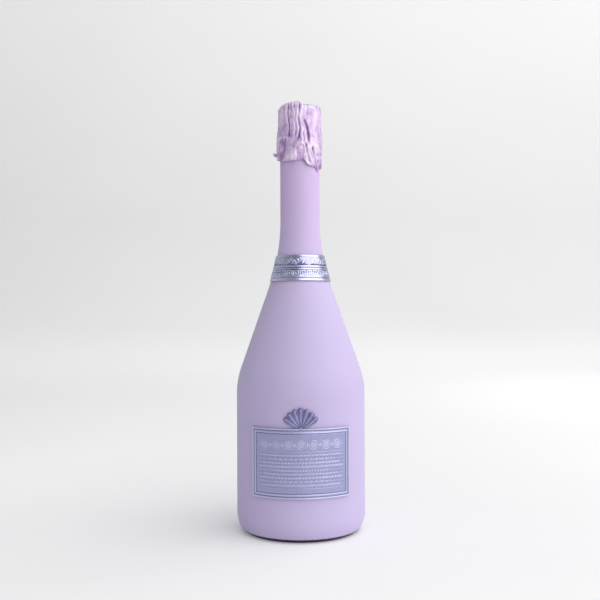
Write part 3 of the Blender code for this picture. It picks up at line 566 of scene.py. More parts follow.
def make_bottle():
    """Lacquered bottle with its dotted bearing ring and unlacquered glass inside; its foot band and dots
    are marked dark as painted shade.
    """
    outside, inside = bottle_outline()
    outline = outside + inside
    columns = 330
    turn = once_round(columns)
    radius, height = columns_of(outline)
    outer = (np.arange(len(outline)) < len(outside))[:, None]
    on_heel = outer & (radius > RING_OUTER - 0.1)
    dots = smooth(0.1, 0.9, (1 + np.cos(KNURLS * turn)) / 2)
    stipple = dots * between(*DOT_ROWS, height)
    notch = (1 - dots) * between(*NOTCH_ROWS, height)
    reach = radius + np.where(on_heel, DOT_HEIGHT * stipple - NOTCH_DEPTH * notch, 0)
    points, faces = turned(around(turn, reach, height), (PUNT_TOP, CAVITY_FOOT))
    punt = (radius <= RING_INNER + 0.01) & (height < PUNT_TOP + 1)
    # The dark band at the foot is partly unlacquered glass and partly painted shade of the line where the
    # bottle meets the floor; the marks on the dots are painted shade of the knurls, with some lacquer wear.
    foot = (radius > RING_INNER) & (height < BARE_AND_SHADE_FOOT)
    bare_and_shade = np.where(~outer | punt | foot | (height > LIP - BARE_LIP), 1.0, 0.36 * stipple * on_heel)
    picks = np.zeros(len(faces), int)
    picks[columns * (len(outside) - 1):] = 1
    made = make("bottle_glass", points, faces, [lacquer_finish(), glass_finish()], picks,
                {"bare_and_shade": np.append(bare_and_shade.ravel(), [1.0, 1.0])})
    return [(made, "glass_bottle", "lacquered_glass")]


# Cork and cage


def leg_nearness(turn):
    """Angle to the nearest leg of the cage."""
    return abs(wrap(turn - LEGS[0], TAU / len(LEGS)))


def make_cork():
    """Pressed cork body with wire marks in its head, and its two discs."""
    body_foot = CORK_FOOT + 2 * (DISC + SEAT)
    edge_radius = CORK_HEAD - CORK_EDGE[0]
    flare = arc((CORK_HEAD, LIP + SEAT), (SHANK - CORK_HEAD, 5.2), 0, math.pi / 2, 14)
    foot = softened([(0.3, body_foot), (SHANK, body_foot), flare[0]], 0.3)
    edge = arc(CORK_EDGE, (edge_radius, edge_radius), 0, math.pi / 2, 10)
    outline = filled(foot + flare[1:] + edge + [(0.3, CORK_TOP)], 0.45)
    turn = once_round(240)
    radius, height = columns_of(outline)
    pressed = 1.25 * np.clip(1 - leg_nearness(turn) * radius / 1.5, 0, 1) ** 0.8
    pressed = pressed * smooth(297.5, 299.5, height) * smooth(9.5, 11.5, radius)
    across, away = radius * np.sin(turn), radius * np.cos(turn)
    rough, knobs = (lattice(across / size, away / size, height / size, seed)
                    for size, seed in ((1.1, 3), (3.5, 4)))
    grainy = (0.05 * rough + 0.10 * knobs * smooth(LIP, LIP + 6, height)) * (radius > 1)
    on_top = smooth(CORK_TOP - 1.2, CORK_TOP - 0.2, height)
    reach = radius - (1 - on_top) * pressed + grainy * (1 - on_top) * smooth(LIP, LIP + 3, height)
    level = height - on_top * (pressed + 0.06 + 0.06 * rough)
    points, faces = turned(around(turn, reach, level), (body_foot, CORK_TOP - 0.06))
    made = [(make("cork_stopper", points, faces, [grain_finish()]), "cork_body", "agglomerated_cork")]
    slice_finish = natural_finish()
    for name, node, foot, edge in (("cork_slice_lower", "cork_disc_lower", CORK_FOOT, 0.5),
                                   ("cork_slice_upper", "cork_disc_upper", CORK_FOOT + DISC + SEAT, 0.15)):
        top = foot + DISC
        line = softened([(0.3, foot), (SHANK, foot), (SHANK, top), (0.3, top)], edge)
        rings = around(once_round(160), *columns_of(filled(line, 0.8)))
        points, faces = turned(rings, (foot, top))
        made.append((make(name, points, faces, [slice_finish]), node, "natural_cork"))
    return made


def leg_path():
    """One leg from its eye up over the cork's edge to the top ring, as (radius, height)."""
    over = arc(CORK_EDGE, (2.39, 4.07), 0, math.pi / 2, 10)
    line = [(15.6, 279.0), (15.92, 280.5), (15.92, 283.95), (14.89, LIP + 5.2)] + over + [CAGE_RING]
    return filled(softened(line, 1.2, 3), 0.4)


def make_cage():
    """Top ring, twisted legs and eyes, and the belt with its twisted tail and loop."""
    up = np.array((0, 0, 1.0))
    frame_parts = [tube(around(once_round(120)[0], *CAGE_RING), CAGE_WIRE, 12, True)]
    for leg in LEGS:
        frame_parts += twisted(around(leg, *np.transpose(leg_path())), STRAND, STRAND, 4.6, leg)
        outward = around(leg, 1.0, 0.0)
        for eye, radius, steps, wire in ((BELT, 1.1, 22, 0.33), (CAGE_RING, 0.76, 18, 0.28)):
            frame_parts.append(tube(hoop(around(leg, *eye), outward, up, radius, steps), wire, 8, True))
    tail = filled([BELT, (LOOP_RADIUS, BELT[1] + 1.4), (LOOP_RADIUS, 283.0)], 0.4)
    turns = once_round(48)[0]
    loop = around(LOOP_TURN + 3.0 * np.cos(turns) / LOOP_RADIUS, LOOP_RADIUS,
                  LOOP_MIDDLE + 3.6 * np.sin(turns))
    tie_parts = [tube(around(once_round(140)[0], *BELT), BELT_WIRE, 12, True),
                 *twisted(around(LOOP_TURN, *np.transpose(tail)), 0.36, 0.38, 3.4, 0.4),
                 tube(loop, BELT_WIRE, 12, True)]
    steel = steel_finish()
    return [(make(name, *together(parts), [steel]), node, "cage_steel")
            for name, parts, node in (("cage_frame", frame_parts, "cage_wire"),
                                      ("cage_tie", tie_parts, "cage_belt"))]


def make_cap():
    """Tinplate cap with a fluted crown, a rosette and a rolled rim."""
    crown, rim, inner = CAP_TOP + CAP_RISE, 12.6, CAP_TOP - CAP_SHEET
    line = softened([(0.2, crown), (9.2, crown), (10.2, CAP_TOP), (rim - 0.25, CAP_TOP),
                     (rim, CAP_TOP - 0.15), (rim, inner), (9.9, inner), (8.9, crown - CAP_SHEET),
                     (0.2, crown - CAP_SHEET)], 0.25, 3)
    outline = filled(line, 0.22)[::-1]
    radius, height = columns_of(outline)
    turn = once_round(240)
    petals = 0.5 + 0.5 * np.cos(8 * turn)
    rosette = smooth(0.0, 0.5, 1.2 + 3.1 * petals - radius) * smooth(0.9, 1.4, radius)
    boss = 1 - smooth(0.6, 1.0, radius)
    rings = sum(np.exp(-((radius - middle) / 0.22) ** 2) for middle in (5.4, 8.5))
    flutes = (0.5 + 0.5 * np.cos(40 * turn)) * between((5.9, 6.3), (7.7, 8.1), radius)
    relief = np.clip(rosette * (0.6 + 0.4 * petals) + boss + rings + 0.7 * flutes, 0, 1)
    crowned = radius < 9.0
    points, faces = turned(around(turn, radius, height - CAP_RELIEF * (1 - relief) * crowned),
                           (outline[0][1] - CAP_RELIEF, outline[-1][1]))
    mark = np.append(np.where(crowned, relief, 0.35), [1.0, 1.0])
    made = make("cap_disc", points, faces, [cap_finish()], marks={"relief": mark})
    return [(made, "cage_cap", "cap_steel")]


# Foil hood

HOOD_COLUMNS = 420

# Rim of the crown: degrees of azimuth, height
RIM = ((-180, 313.4), (-160, 314.2), (-135, 313.5), (-108, 314.3), (-84, 313.1), (-62, 313.7),
       (-46, 314.5), (-30, 315.0), (-12, 315.25), (0.5, 315.2), (3.5, 313.3), (8, 313.0), (22, 313.1),
       (42, 313.2), (58, 313.6), (72, 314.2), (88, 313.4), (110, 314.0), (130, 313.2), (150, 314.0),
       (162, 314.4), (180, 313.4))

# Hem: degrees of azimuth, height
HEM = ((-180, 273.6), (-150, 274.6), (-125, 275.6), (-105, 275.2), (-92, 274.4), (-79, 273.5),
       (-62, 272.3), (-46, 272.0), (-31, 271.4), (-18, 271.7), (0, 272.1), (12, 272.3), (17, 270.0),
       (22, 268.6), (30, 268.2), (40, 267.9), (48, 267.4), (55, 265.4), (61, 264.95), (68, 266.6),
       (76, 270.2), (84, 273.2), (105, 275.2), (130, 275.4), (155, 274.2), (180, 273.6))

# Sides without folds: height, radius
SIDE = ((262, 16.2), (268, 16.5), (272, 16.75), (276, 17.15), (281, 17.4), (286, 17.2), (290, 16.75),
        (294, 16.4), (299, 16.15), (304, 16.1), (310, 15.95), (315, 15.8))

# Folds: line of (degrees, height) points, depth, half width, ridge beside it and its side
FOLDS = (
    (((0.5, 314.4), (-0.8, 309), (-4.4, 303.5), (-2.2, 299.1), (0.5, 295), (-0.8, 292), (-2, 288)),
     0.95, 1.15, 0.45, 1),
    (((-8.5, 309), (-8.8, 304), (-8.0, 298), (-6.5, 293)), 0.30, 0.8, 0.40, 1),
    (((-32.3, 312.5), (-33.8, 306), (-29.3, 299.5), (-28.7, 289.5)), 0.75, 0.95, 0.30, -1),
    (((-23.6, 313.5), (-24.2, 310), (-22.6, 307.6)), 0.55, 0.7, 0.20, 1),
    (((-15.5, 312.5), (-11.3, 307.3), (-12.8, 300.6), (-10.0, 294.2), (-12.6, 289.6)),
     0.55, 0.85, 0.25, -1),
    (((13.5, 300.5), (19.5, 296.0), (23.8, 288.9), (20.5, 283.6)), 0.85, 1.5, 0.45, 1),
    (((15.5, 283.0), (17.5, 279.0), (20.5, 275.5), (27.0, 270.6)), 0.85, 1.0, 0.50, 1),
    (((33.0, 281.0), (35.8, 277.2), (43.8, 271.7), (53.5, 266.6)), 1.45, 0.85, 0.45, 1),
    (((-47.0, 310.5), (-45.0, 303.0), (-49.0, 296.0)), 0.35, 1.0, 0.20, -1),
    (((-66.0, 312.0), (-63.0, 304.0), (-67.0, 294.0)), 0.45, 1.1, 0.25, 1),
    (((-40.0, 287.0), (-45.0, 281.0), (-53.0, 274.0)), 0.75, 1.1, 0.45, 1),
    (((-62.0, 286.0), (-66.0, 279.0), (-63.0, 274.0)), 0.45, 1.0, 0.35, -1),
    (((51.0, 311.5), (53.5, 309.5), (54.0, 306.5)), 0.5, 0.9, 0.2, 1),
    (((20.5, 311.6), (19.5, 309.5), (21.0, 305.0)), 0.45, 1.3, 0.2, -1),
    (((8.0, 291.5), (11.0, 288.0), (9.0, 284.5)), 0.35, 0.8, 0.3, -1),
)


def knots(pairs, turn):
    """Value at an azimuth from (degrees, value) pairs."""
    return table(pairs, np.degrees(wrap(turn)))


def fold_depth(turn, height, line, depth, half, lift, side):
    """Inward push of one fold with its ridges, in millimetres, negative inwards."""
    degrees, heights = zip(*line[::-1])
    seed = round(10 * degrees[0] + heights[0])
    centre = np.radians(np.interp(height, heights, degrees))
    offset = wrap(turn - centre) * FOIL_MEAN + 0.28 * lattice(height / 2.1, 0.5, 0.5, seed)
    fade = between((heights[0] - 1.5, heights[0] + 1.5), (heights[-1], heights[-1] + 2), height)
    fade = fade * (0.85 + 0.3 * lattice(height / 3.3, 2.5, 0.5, seed))
    valley = np.clip(1 - abs(offset) / half, 0, 1) ** 1.5
    ridge = np.exp(-((offset - side * (half + 0.45)) / 0.6) ** 2)
    ridge = ridge + 0.55 * np.exp(-((offset + side * (half + 0.35)) / 0.5) ** 2)
    return fade * (1.1 * lift * ridge - 1.25 * depth * valley)


def random_folds():
    """Folds for the sides and back, in the manner of the front's."""
    dice = np.random.default_rng(11)
    folds = []
    for degrees in np.arange(78, 292, 15.5):
        start = degrees + dice.uniform(-4, 4)
        top, foot = 314.5 - dice.uniform(0, 5), 287 + dice.uniform(-3, 8)
        heights = np.linspace(top, foot, 5)
        line = tuple((start + dice.uniform(-3.5, 3.5), height) for height in heights)
        folds.append((line, dice.uniform(0.35, 0.9), dice.uniform(0.7, 1.3), dice.uniform(0.15, 0.45),
                      dice.choice((-1, 1))))
    return folds


def arch(turn, height, middle, half, top, drop, depth):
    """Place pressed in under the cork's edge, its top rounded."""
    offset = np.degrees(wrap(turn - math.radians(middle)))
    offset = offset + 1.6 * lattice(height / 3.1, turn * 6, 0.5, 61)
    edge = top - drop * (offset / half) ** 2 + 0.8 * lattice(turn * 11, 0.5, 0.5, 62)
    inside = smooth(0, 0.45, 1 - abs(offset) / half)
    lip = np.exp(-((height - edge - 0.5) / 0.55) ** 2)
    return depth * inside * (0.32 * lip - 1 + smooth(edge - 2.2, edge + 0.4, height))


# Arches: middle and half width in degrees, top, drop at the sides, depth
ARCHES = ((-49, 29, 288.9, 2.6, 0.95), (0, 12.5, 284.0, 2.2, 0.95), (48, 12, 282.4, 3.0, 0.55),
          (92, 15, 286.5, 3.0, 1.2), (141, 15, 284.5, 2.5, 1.2), (-176, 17, 287.5, 3.0, 1.3),
          (-130, 15, 285.0, 2.5, 1.2))

# Crumples: seed, facets' width and height, amount, share by which their corners stray
CRUMPLES = ((5, 4.2, 7.0, 0.60, 0.42), (8, 2.4, 3.6, 0.34, 0.45), (14, 1.4, 2.2, 0.15, 0.45))
CRUMPLE_FOOT, CRUMPLE_REACH = 254, 66


def crumple(turn, height, seed, across, along, amount, wild):
    """Flat facets that meet in sharp creases, from heights at scattered points."""
    dice = np.random.default_rng(seed)
    girth = TAU * FOIL_MEAN
    columns, rows = round(girth / across), round(CRUMPLE_REACH / along)
    across = girth / columns
    spots, levels = [], []
    for row in range(rows):
        for column in range(columns):
            x = (column + 0.5 * (row % 2) + dice.uniform(-wild, wild)) * across - girth / 2
            y = CRUMPLE_FOOT + (row + dice.uniform(-wild, wild)) * along
            level = dice.uniform(-amount, amount)
            for copy in (-girth, 0, girth):
                if abs(x + copy) < girth / 2 + 3 * across:
                    spots.append((x + copy, y))
                    levels.append(level)
    kept, _, faces, origins, _, _ = delaunay_2d_cdt([Vector(spot) for spot in spots], [], [], 0, 1e-6)
    raised = [(point[0], point[1], levels[source[0]]) for point, source in zip(kept, origins)]
    tree = BVHTree.FromPolygons(raised, faces)
    x = (wrap(turn) * FOIL_MEAN).ravel()
    y = np.broadcast_to(height, turn.shape).ravel()
    down = Vector((0, 0, -1))
    found = [tree.ray_cast(Vector((a, b, 9)), down)[0] for a, b in zip(x, y)]
    return np.array([point.z if point else 0.0 for point in found]).reshape(turn.shape)


# Least radius inside the hood: over the cork's head, over a leg by height, and more over the loop
HEAD_ROOM, LOOP_ROOM = 15.12, 1.5
LEG_ROOM = ((285, 16.62), (292, 16.55), (298.6, 15.6))


def hood_support(turn, height):
    """Least radius inside the hood: cork head, cage legs and the folded loop."""
    leg = table(LEG_ROOM, height)
    legs = 1 - smooth(math.radians(2.4), math.radians(8.0), leg_nearness(turn))
    loop = 1 - smooth(math.radians(12), math.radians(19), abs(wrap(turn - LOOP_TURN)))
    loop = loop * between((274, 277), (291, 294), height)
    return HEAD_ROOM + np.maximum((leg - HEAD_ROOM) * legs, LOOP_ROOM * loop)


def hood_skins():
    """Outer and inner points of the foil, and how much each outer point stands proud, which sets its
    painted shade and highlight.
    """
    turn = once_round(HOOD_COLUMNS, -math.pi)
    crown_rows, corner_rows, side_rows = 44, 12, 158
    edge_radius, edge_drop = 13.5, 2.5
    rim = knots(RIM, turn) + 0.15 * lattice(turn * 9, 0.5, 0.5, 21)
    hem = knots(HEM, turn) + 0.22 * lattice(turn * 16, 0.5, 1.5, 22)
    hem = hem + 0.1 * lattice(turn * 40, 0.5, 2.5, 23)
    corner = rim - edge_drop
    radius = edge_radius * shares(crown_rows)
    ease = smooth(12.0, edge_radius, radius)
    pressed = 0.22 * np.exp(-((radius - 11.2) / 0.7) ** 2) - 0.30 * (1 - smooth(7.6, 9.6, radius))
    crown = (radius, (CROWN + pressed) * (1 - ease) + rim * ease, 0, 1)
    tilt = math.pi / 2 * (1 - shares(corner_rows))
    bend = (edge_radius + (table(SIDE, corner) - edge_radius) * np.cos(tilt),
            corner + edge_drop * np.sin(tilt), np.cos(tilt), np.sin(tilt))
    level = corner + (hem - corner) * shares(side_rows)
    zones = [np.broadcast_arrays(*zone) for zone in (crown, bend, (table(SIDE, level), level, 1, 0))]
    radius, level, out, up = (np.concatenate(part) for part in zip(*zones))
    turns = np.broadcast_to(turn, radius.shape)
    unrolled = np.where(up > 0.01, level + (edge_radius - np.minimum(radius, edge_radius)) * up, level)
    push = np.zeros_like(radius)
    for fold in FOLDS + tuple(random_folds()):
        push += fold_depth(turns, unrolled, *fold)
    wide, close, fine = (crumple(turns, unrolled, *sizes) for sizes in CRUMPLES)
    low = 1 - smooth(284, 292, level)
    push += wide * (0.6 + 0.4 * low) + close * (0.75 + 0.6 * low) + fine
    local = push.copy()
    hollow = sum(arch(turns, level, *place) for place in ARCHES)
    push += hollow
    push -= 0.9 * np.exp(-(wrap(turns - math.radians(88)) / 0.38) ** 2) * (1 - smooth(284, 290, level))
    push += 0.10 * lattice(turns * 9, unrolled / 4.5, 3.3, 31)
    fade = smooth(2.0, 12.5, radius)
    dents = 0.25 * lattice(radius * np.sin(turns) / 3.2, radius * np.cos(turns) / 3.2, 5.5, 33)
    push = np.where(up > 0.99, push * fade * 0.45 + dents * (1 - fade), push)
    wall = radius + out * push
    lowest = hood_support(turns, level) + FOIL + 0.02
    wall = np.where(out > 0.3, np.maximum(wall, lowest - (1 - out) * 3), wall)
    top = level + up * push
    over = between((9.5, 10.6), (12.4, 13.2), radius)
    top = np.where(up > 0.99, np.maximum(top, CROWN_FLOOR + FOIL * over), top)
    top = np.minimum(top, CROWN_LIMIT)
    outer = around(turns, wall, top)
    inner = around(turns, wall - FOIL * np.maximum(out, 0.0), top - FOIL * up)
    # How proud each point stands, with the arches weighted in; the foil's colour turns it into painted
    # shade in the folds and arches and painted highlight on the ridges.
    proud = 0.59 + 0.68 * local + np.where(hollow > 0, 0.8, 0.20) * hollow
    proud = np.clip(proud, np.where(hollow < -0.3, 0.20, 0.03), 1)
    return outer, inner, proud, top[0].mean()


def make_hood():
    """Crumpled foil bell over the cork and the cage, and the two finishes of its tear tab."""
    outer, inner, proud, tip = hood_skins()
    points, faces = turned(np.concatenate([inner, outer[::-1]]), (tip - FOIL, tip))
    mark = np.append(np.concatenate([proud * 0.5 + 0.2, proud[::-1]]), [0.5, 0.5])
    picks = np.zeros(len(faces), int)
    picks[:HOOD_COLUMNS * (len(outer) - 1)] = 1
    picks[-2 * HOOD_COLUMNS:-HOOD_COLUMNS] = 1
    lavender = foil_finish("hood_foil", srgb(126, 92, 148), srgb(196, 166, 214), srgb(226, 200, 240),
                           srgb(246, 230, 252), 0.20, 0.36)
    silver = foil_finish("foil_back", srgb(150, 148, 158), srgb(176, 174, 184), srgb(206, 204, 212),
                         srgb(226, 226, 232), 0.25, 0.42)
    made = make("hood_shell", points, faces, [lavender, silver], picks, {"crest": mark})
    # The tear tab's pale, nearly plain finish is painted light: it lifts the tab, which sits in the hood's
    # shade.
    pale = foil_finish("tab_foil", srgb(186, 176, 198), srgb(214, 206, 224), srgb(234, 228, 240),
                       srgb(246, 242, 250), 0.05, 0.5)
    return [(made, "foil_hood", "foil")], [lavender, pale]


def make_tab(finishes):
    """Curled end of the tear strip."""
    along = np.array((math.cos(TAB_TURN), math.sin(TAB_TURN), 0))
    across = np.array((-along[1], along[0], 0))
    steps, rises = 26, 11
    step = np.linspace(0, 1, steps)[None, :, None]
    rise = np.linspace(-1, 1, rises)[:, None, None]
    half = 1.40 - 0.35 * step + 0.10 * np.sin(9 * step)
    curl = 0.22 * np.sin(5 * step) * step + 0.30 * step * (rise ** 2 - 0.5)
    middle = TAB_ROOT + along * TAB_LENGTH * step - across * curl
    middle = (middle + (half * rise + 0.15 * step) * (0, 0, 1)).reshape(-1, 3)
    points = np.concatenate([middle - across * TAB_FOIL, middle + across * TAB_FOIL])
    count = steps * rises
    grid = np.arange(count).reshape(rises, steps)
    border = np.concatenate([grid[0], grid[1:, -1], grid[-1, -2::-1], grid[-2:0:-1, 0]]).tolist()
    front = grid_faces(rises, steps, False)
    back = [[corner + count for corner in face[::-1]] for face in front]
    sides = [(b, a, a + count, b + count) for a, b in zip(border, border[1:] + border[:1])]
    picks = [0] * len(front) + [1] * len(back) + [0] * len(sides)
    made = make("tear_strip_end", points, front + back + sides, finishes, picks,
                {"crest": np.full(len(points), 0.6)})
    return [(made, "foil_tear_tab", "foil")]


# Relief of the band and the plaque


def near(u, v, line):
    """Distance from each place to a line of points."""
    best = np.full(np.broadcast(u, v).shape, 99.0)
    for (ax, ay), (bx, by) in zip(line, line[1:]):
        dx, dy = bx - ax, by - ay
        share = np.clip(((u - ax) * dx + (v - ay) * dy) / (dx * dx + dy * dy), 0, 1)
        best = np.minimum(best, np.hypot(u - ax - share * dx, v - ay - share * dy))
    return best


def stroke(distance, half, soft=0.14):
    """Raised line with rounded shoulders."""
    return 1 - smooth(half - soft, half + soft, distance)


def dot(u, v, x, y, radius):
    """Raised bead."""
    return np.sqrt(np.clip(1 - ((u - x) ** 2 + (v - y) ** 2) / radius ** 2, 0, 1))


def leaf(u, v, x, y, length, width, tilt):
    """Pointed leaf with a groove along it."""
    along = (u - x) * math.cos(tilt) + (v - y) * math.sin(tilt)
    across = -(u - x) * math.sin(tilt) + (v - y) * math.cos(tilt)
    half = width * np.clip(1 - (2 * along / length) ** 2, 0, 1)
    body = np.clip(1 - abs(across) / np.maximum(half, 0.01), 0, 1)
    body = np.where(abs(along) < length / 2, smooth(0, 0.5, body), 0)
    return body * (1 - 0.5 * stroke(abs(across), 0.06, 0.06))


def vine(u, v, period):
    """Running vine: wavy stem, leaves in its bends and berries between."""
    u = u % period
    stem = 1.15 * np.sin(TAU * u / period)
    out = stroke(abs(v - stem) * 0.78, 0.2)
    for shift in (-period, 0, period):
        out = np.maximum(out, leaf(u, v, 0.27 * period + shift, -0.75, 3.2, 0.85, 0.9))
        out = np.maximum(out, leaf(u, v, 0.77 * period + shift, 0.75, 3.2, 0.85, -0.9))
        for x, y in ((0.05, 1.35), (0.13, 2.0), (-0.03, 2.0), (0.55, -1.35), (0.63, -2.0), (0.47, -2.0)):
            out = np.maximum(out, dot(u, v, x * period + shift, y, 0.42))
    return out


GREEK_KEY = ((0, -1.7), (0, 1.7), (3.7, 1.7), (3.7, -0.55), (1.65, -0.55), (1.65, 0.55))


def meander(u, v, period):
    """Greek key."""
    u = u % period
    gap = near(u, v, GREEK_KEY)
    for shift in (-period, period):
        gap = np.minimum(gap, near(u, v, [(x + shift, y) for x, y in GREEK_KEY]))
    gap = np.minimum(gap, near(u, v, ((3.7, -1.7), (period + 0.01, -1.7))))
    return stroke(gap, 0.3)


def beads(u, v, period):
    """Bead and reel."""
    u = wrap(u, period)
    out = dot(u, v, 0, 0, 0.72)
    reel = abs(abs(u) - period / 2)
    return np.maximum(out, stroke(reel, 0.22) * stroke(abs(v), 0.75))


def chevrons(u, v, period):
    """Row of arrow heads."""
    u = u % period
    return stroke(abs(abs(v) - (u - period / 2) * 0.9) * 0.74, 0.24) * stroke(abs(v), 0.85)


def wave(u, v, period):
    """Running wave of scrolls."""
    u = u % period
    out = stroke(abs(v - 0.75 * np.sin(TAU * u / period)) * 0.7, 0.2)
    for x, y in ((0.25, -0.25), (0.75, 0.25)):
        out = np.maximum(out, dot(u, v, x * period, y, 0.38))
    return out


def sprays(u, v, period):
    """Pairs of leaves along a stem."""
    u = u % period
    out = stroke(abs(v), 0.12, 0.1)
    for shift in (-period, 0, period):
        for side in (-1, 1):
            out = np.maximum(out, leaf(u, v, 0.5 * period + shift, 0.48 * side, 1.9, 0.42, 0.55 * side))
    return out


def lozenges(u, v, period):
    """Lozenges with a bar between."""
    u = wrap(u, period)
    out = 1 - smooth(0.75, 1.0, abs(u) / 1.15 + abs(v) / 0.85)
    bar = abs(abs(u) - period / 2)
    return np.maximum(out, stroke(bar, 0.5) * stroke(abs(v), 0.16))


def rosettes(u, v, period):
    """Petalled rosettes with lozenges between them."""
    u = wrap(u, period)
    reach, turn = np.hypot(u, v), np.arctan2(v, u)
    petal = 1 - smooth(0.0, 0.35, reach - 0.55 - 0.95 * abs(np.cos(4 * turn)))
    out = np.maximum(petal * smooth(0.4, 0.65, reach), dot(u, v, 0, 0, 0.45))
    out = np.maximum(out, stroke(abs(reach - 2.0), 0.13))
    side = abs(abs(u) - period / 2)
    return np.maximum(out, 1 - smooth(0.7, 1.0, side / 0.7 + abs(v) / 1.5))


# Rows of the plaque's field: pattern, period, middle below the field's top, half length, size
FIELD_ROWS = (
    (rosettes, 8.6, 7.2, 30.1, 1.5), (beads, 2.6, 14.4, 30.0, 0.8), (lozenges, 3.5, 17.0, 23.6, 0.8),
    (sprays, 2.3, 19.6, 27.3, 0.85), (wave, 2.7, 22.2, 30.4, 0.85), (chevrons, 2.0, 24.8, 19.2, 0.85),
    (beads, 2.6, 27.4, 26.3, 0.8), (sprays, 2.3, 30.0, 29.9, 0.85), (lozenges, 3.5, 32.6, 21.0, 0.8),
    (wave, 2.7, 35.2, 28.8, 0.85),
)


def sheet_shell(front, back, relief):
    """Points, faces and marks of a plate: a fine front, a back seen edge on only, and the sides."""
    rows, columns = front.shape[:2]
    points = np.concatenate([front.reshape(-1, 3), back.reshape(-1, 3)])
    faces = grid_faces(rows, columns, False)
    low = rows * columns
    top, last_row, last = low + columns, low - columns, columns - 1
    for k in range(last):
        faces += [(top + k, top + k + 1, low + k + 1, low + k), (low + k, low + k + 1, k + 1, k),
                  (last_row + k, last_row + k + 1, top + k + 1, top + k)]
    faces.append(list(range(0, low, columns)) + [top, low])
    faces.append(list(range(last, low, columns))[::-1] + [low + last, top + last])
    return points, faces, np.append(relief.ravel(), np.zeros(2 * columns))


# Band: foot, height, width of the seam at the back and mean radius
BAND_FOOT, BAND_HEIGHT, BAND_SEAM, BAND_MEAN = 184.0, 19.0, 0.8, 22.0

# Ribs of the band: share of its height, relief
BAND_RIBS = ((0, 0.35), (0.012, 0.8), (0.085, 0.85), (0.10, 0.15), (0.125, 0.15), (0.14, 0.62),
             (0.165, 0.62), (0.19, 0.40), (0.42, 0.40), (0.445, 0.70), (0.485, 0.72), (0.498, 0.10),
             (0.518, 0.10), (0.53, 0.85), (0.565, 0.85), (0.59, 0.40), (0.91, 0.40), (0.93, 0.66),
             (0.985, 0.75), (1.0, 0.4))

# Tiers of the band: pattern, middle above its foot, repeats, and where the pattern starts and ends
BAND_TIERS = ((vine, 14.3, 16, (0.595, 0.615), (0.895, 0.91)),
              (meander, 5.55, 27, (0.185, 0.2), (0.41, 0.425)))


def make_band():
    """Neck band with two tiers of ornament between its ribs."""
    columns, rows = 900, 104
    turn = (TAU - BAND_SEAM / NECK) * (np.linspace(0, 1, columns)[None] - 0.5)
    height = BAND_FOOT + BAND_HEIGHT * np.linspace(0, 1, rows)[:, None]
    rise = (height - BAND_FOOT) / BAND_HEIGHT
    girth = TAU * BAND_MEAN
    ornament = np.zeros((rows, columns))
    for pattern, middle, repeats, foot, head in BAND_TIERS:
        tier = pattern(turn / TAU * girth, height - (BAND_FOOT + middle), girth / repeats)
        ornament = np.maximum(ornament, tier * between(foot, head, rise))
    relief = np.clip(table(BAND_RIBS, rise) + 0.50 * ornament, 0, 1)
    waver = 0.05 * lattice(np.sin(turn) * 3, np.cos(turn) * 3, height / 9, 41)
    front = around(turn, wall_at(height) + STANDOFF + 0.12 + 0.40 * relief + waver, height)
    ends = height[[0, -1]]
    points, faces, mark = sheet_shell(front, around(turn, wall_at(ends) + STANDOFF, ends), relief)
    metal = pressed_finish("band_metal", srgb(106, 100, 152), srgb(190, 191, 226), srgb(224, 227, 247),
                           1.0, 0.25)
    made = make("neck_band_relief", points, faces, [metal], marks={"relief": mark})
    return [(made, "neck_band", "band_metal")]


def on_body(along, height, proud):
    """Points in front of the body from arc length, height and stand-off."""
    return around(along / BODY, wall_at(height) + proud, height)


# Plaque: foot, height, width and width of its frame
PLAQUE_FOOT, PLAQUE_HEIGHT, PLAQUE_WIDTH, FRAME = 32.0, 48.7, 73.5, 4.0
PLAQUE_TOP = PLAQUE_FOOT + PLAQUE_HEIGHT

# Field of the plaque: half width, first fine row below its top and distance from row to row
FIELD_HALF, FIRST_ROW, ROW_PITCH = 31.5, 14.4, 2.6

# Frame of the plaque: distance in from its edge, relief
FRAME_LINE = ((0, 0.5), (0.18, 0.95), (0.85, 1.0), (1.05, 0.5), (1.2, 0.12), (1.75, 0.12), (1.95, 0.60),
              (2.5, 0.60), (2.7, 0.9), (3.1, 0.9), (3.3, 0.12), (3.75, 0.12), (FRAME, 0.42))


def plaque_plate():
    """Curved plate: double frame and rows of small ornament."""
    columns, rows = 400, 270
    u = PLAQUE_WIDTH * (np.linspace(0, 1, columns)[None] - 0.5)
    height = PLAQUE_FOOT + PLAQUE_HEIGHT * np.linspace(0, 1, rows)[:, None]
    edge = np.minimum(PLAQUE_WIDTH / 2 - abs(u), np.minimum(height - PLAQUE_FOOT, PLAQUE_TOP - height))
    relief = table(FRAME_LINE, edge)
    field = np.zeros_like(relief)
    depth = PLAQUE_TOP - FRAME - height
    for pattern, period, middle, half, size in FIELD_ROWS:
        header = pattern is rosettes
        v = (middle - depth) / size + 0 * u
        weight = smooth(0, 0.4, half - abs(u)) * (abs(v) < (2.6 if header else 1.2))
        field = np.maximum(field, pattern(u / size, v, period / size) * weight * (0.75 if header else 1.0))
    rules = np.maximum(*(stroke(abs(depth - middle), 0.1, 0.08) for middle in (12.2, 37.4)))
    field = np.maximum(field, 0.6 * rules * smooth(0, 0.4, 30.6 - abs(u)))
    ranks = np.cos(TAU * (depth - FIRST_ROW) / ROW_PITCH) * between((12.6, 13.4), (36.2, 37.0), depth)
    ranks = ranks * smooth(0, 0.8, FIELD_HALF - abs(u))
    inside = smooth(FRAME, FRAME + 0.4, edge)
    relief = np.clip(relief + inside * (0.48 * field + 0.07 * ranks), 0, 1)
    waver = 0.05 * lattice(u / 7, height / 7, 0.5, 51)
    front = on_body(u, height, STANDOFF + 0.42 + 0.55 * relief + waver)
    return sheet_shell(front, on_body(u, height[[0, -1]] + 0 * u, STANDOFF), relief)


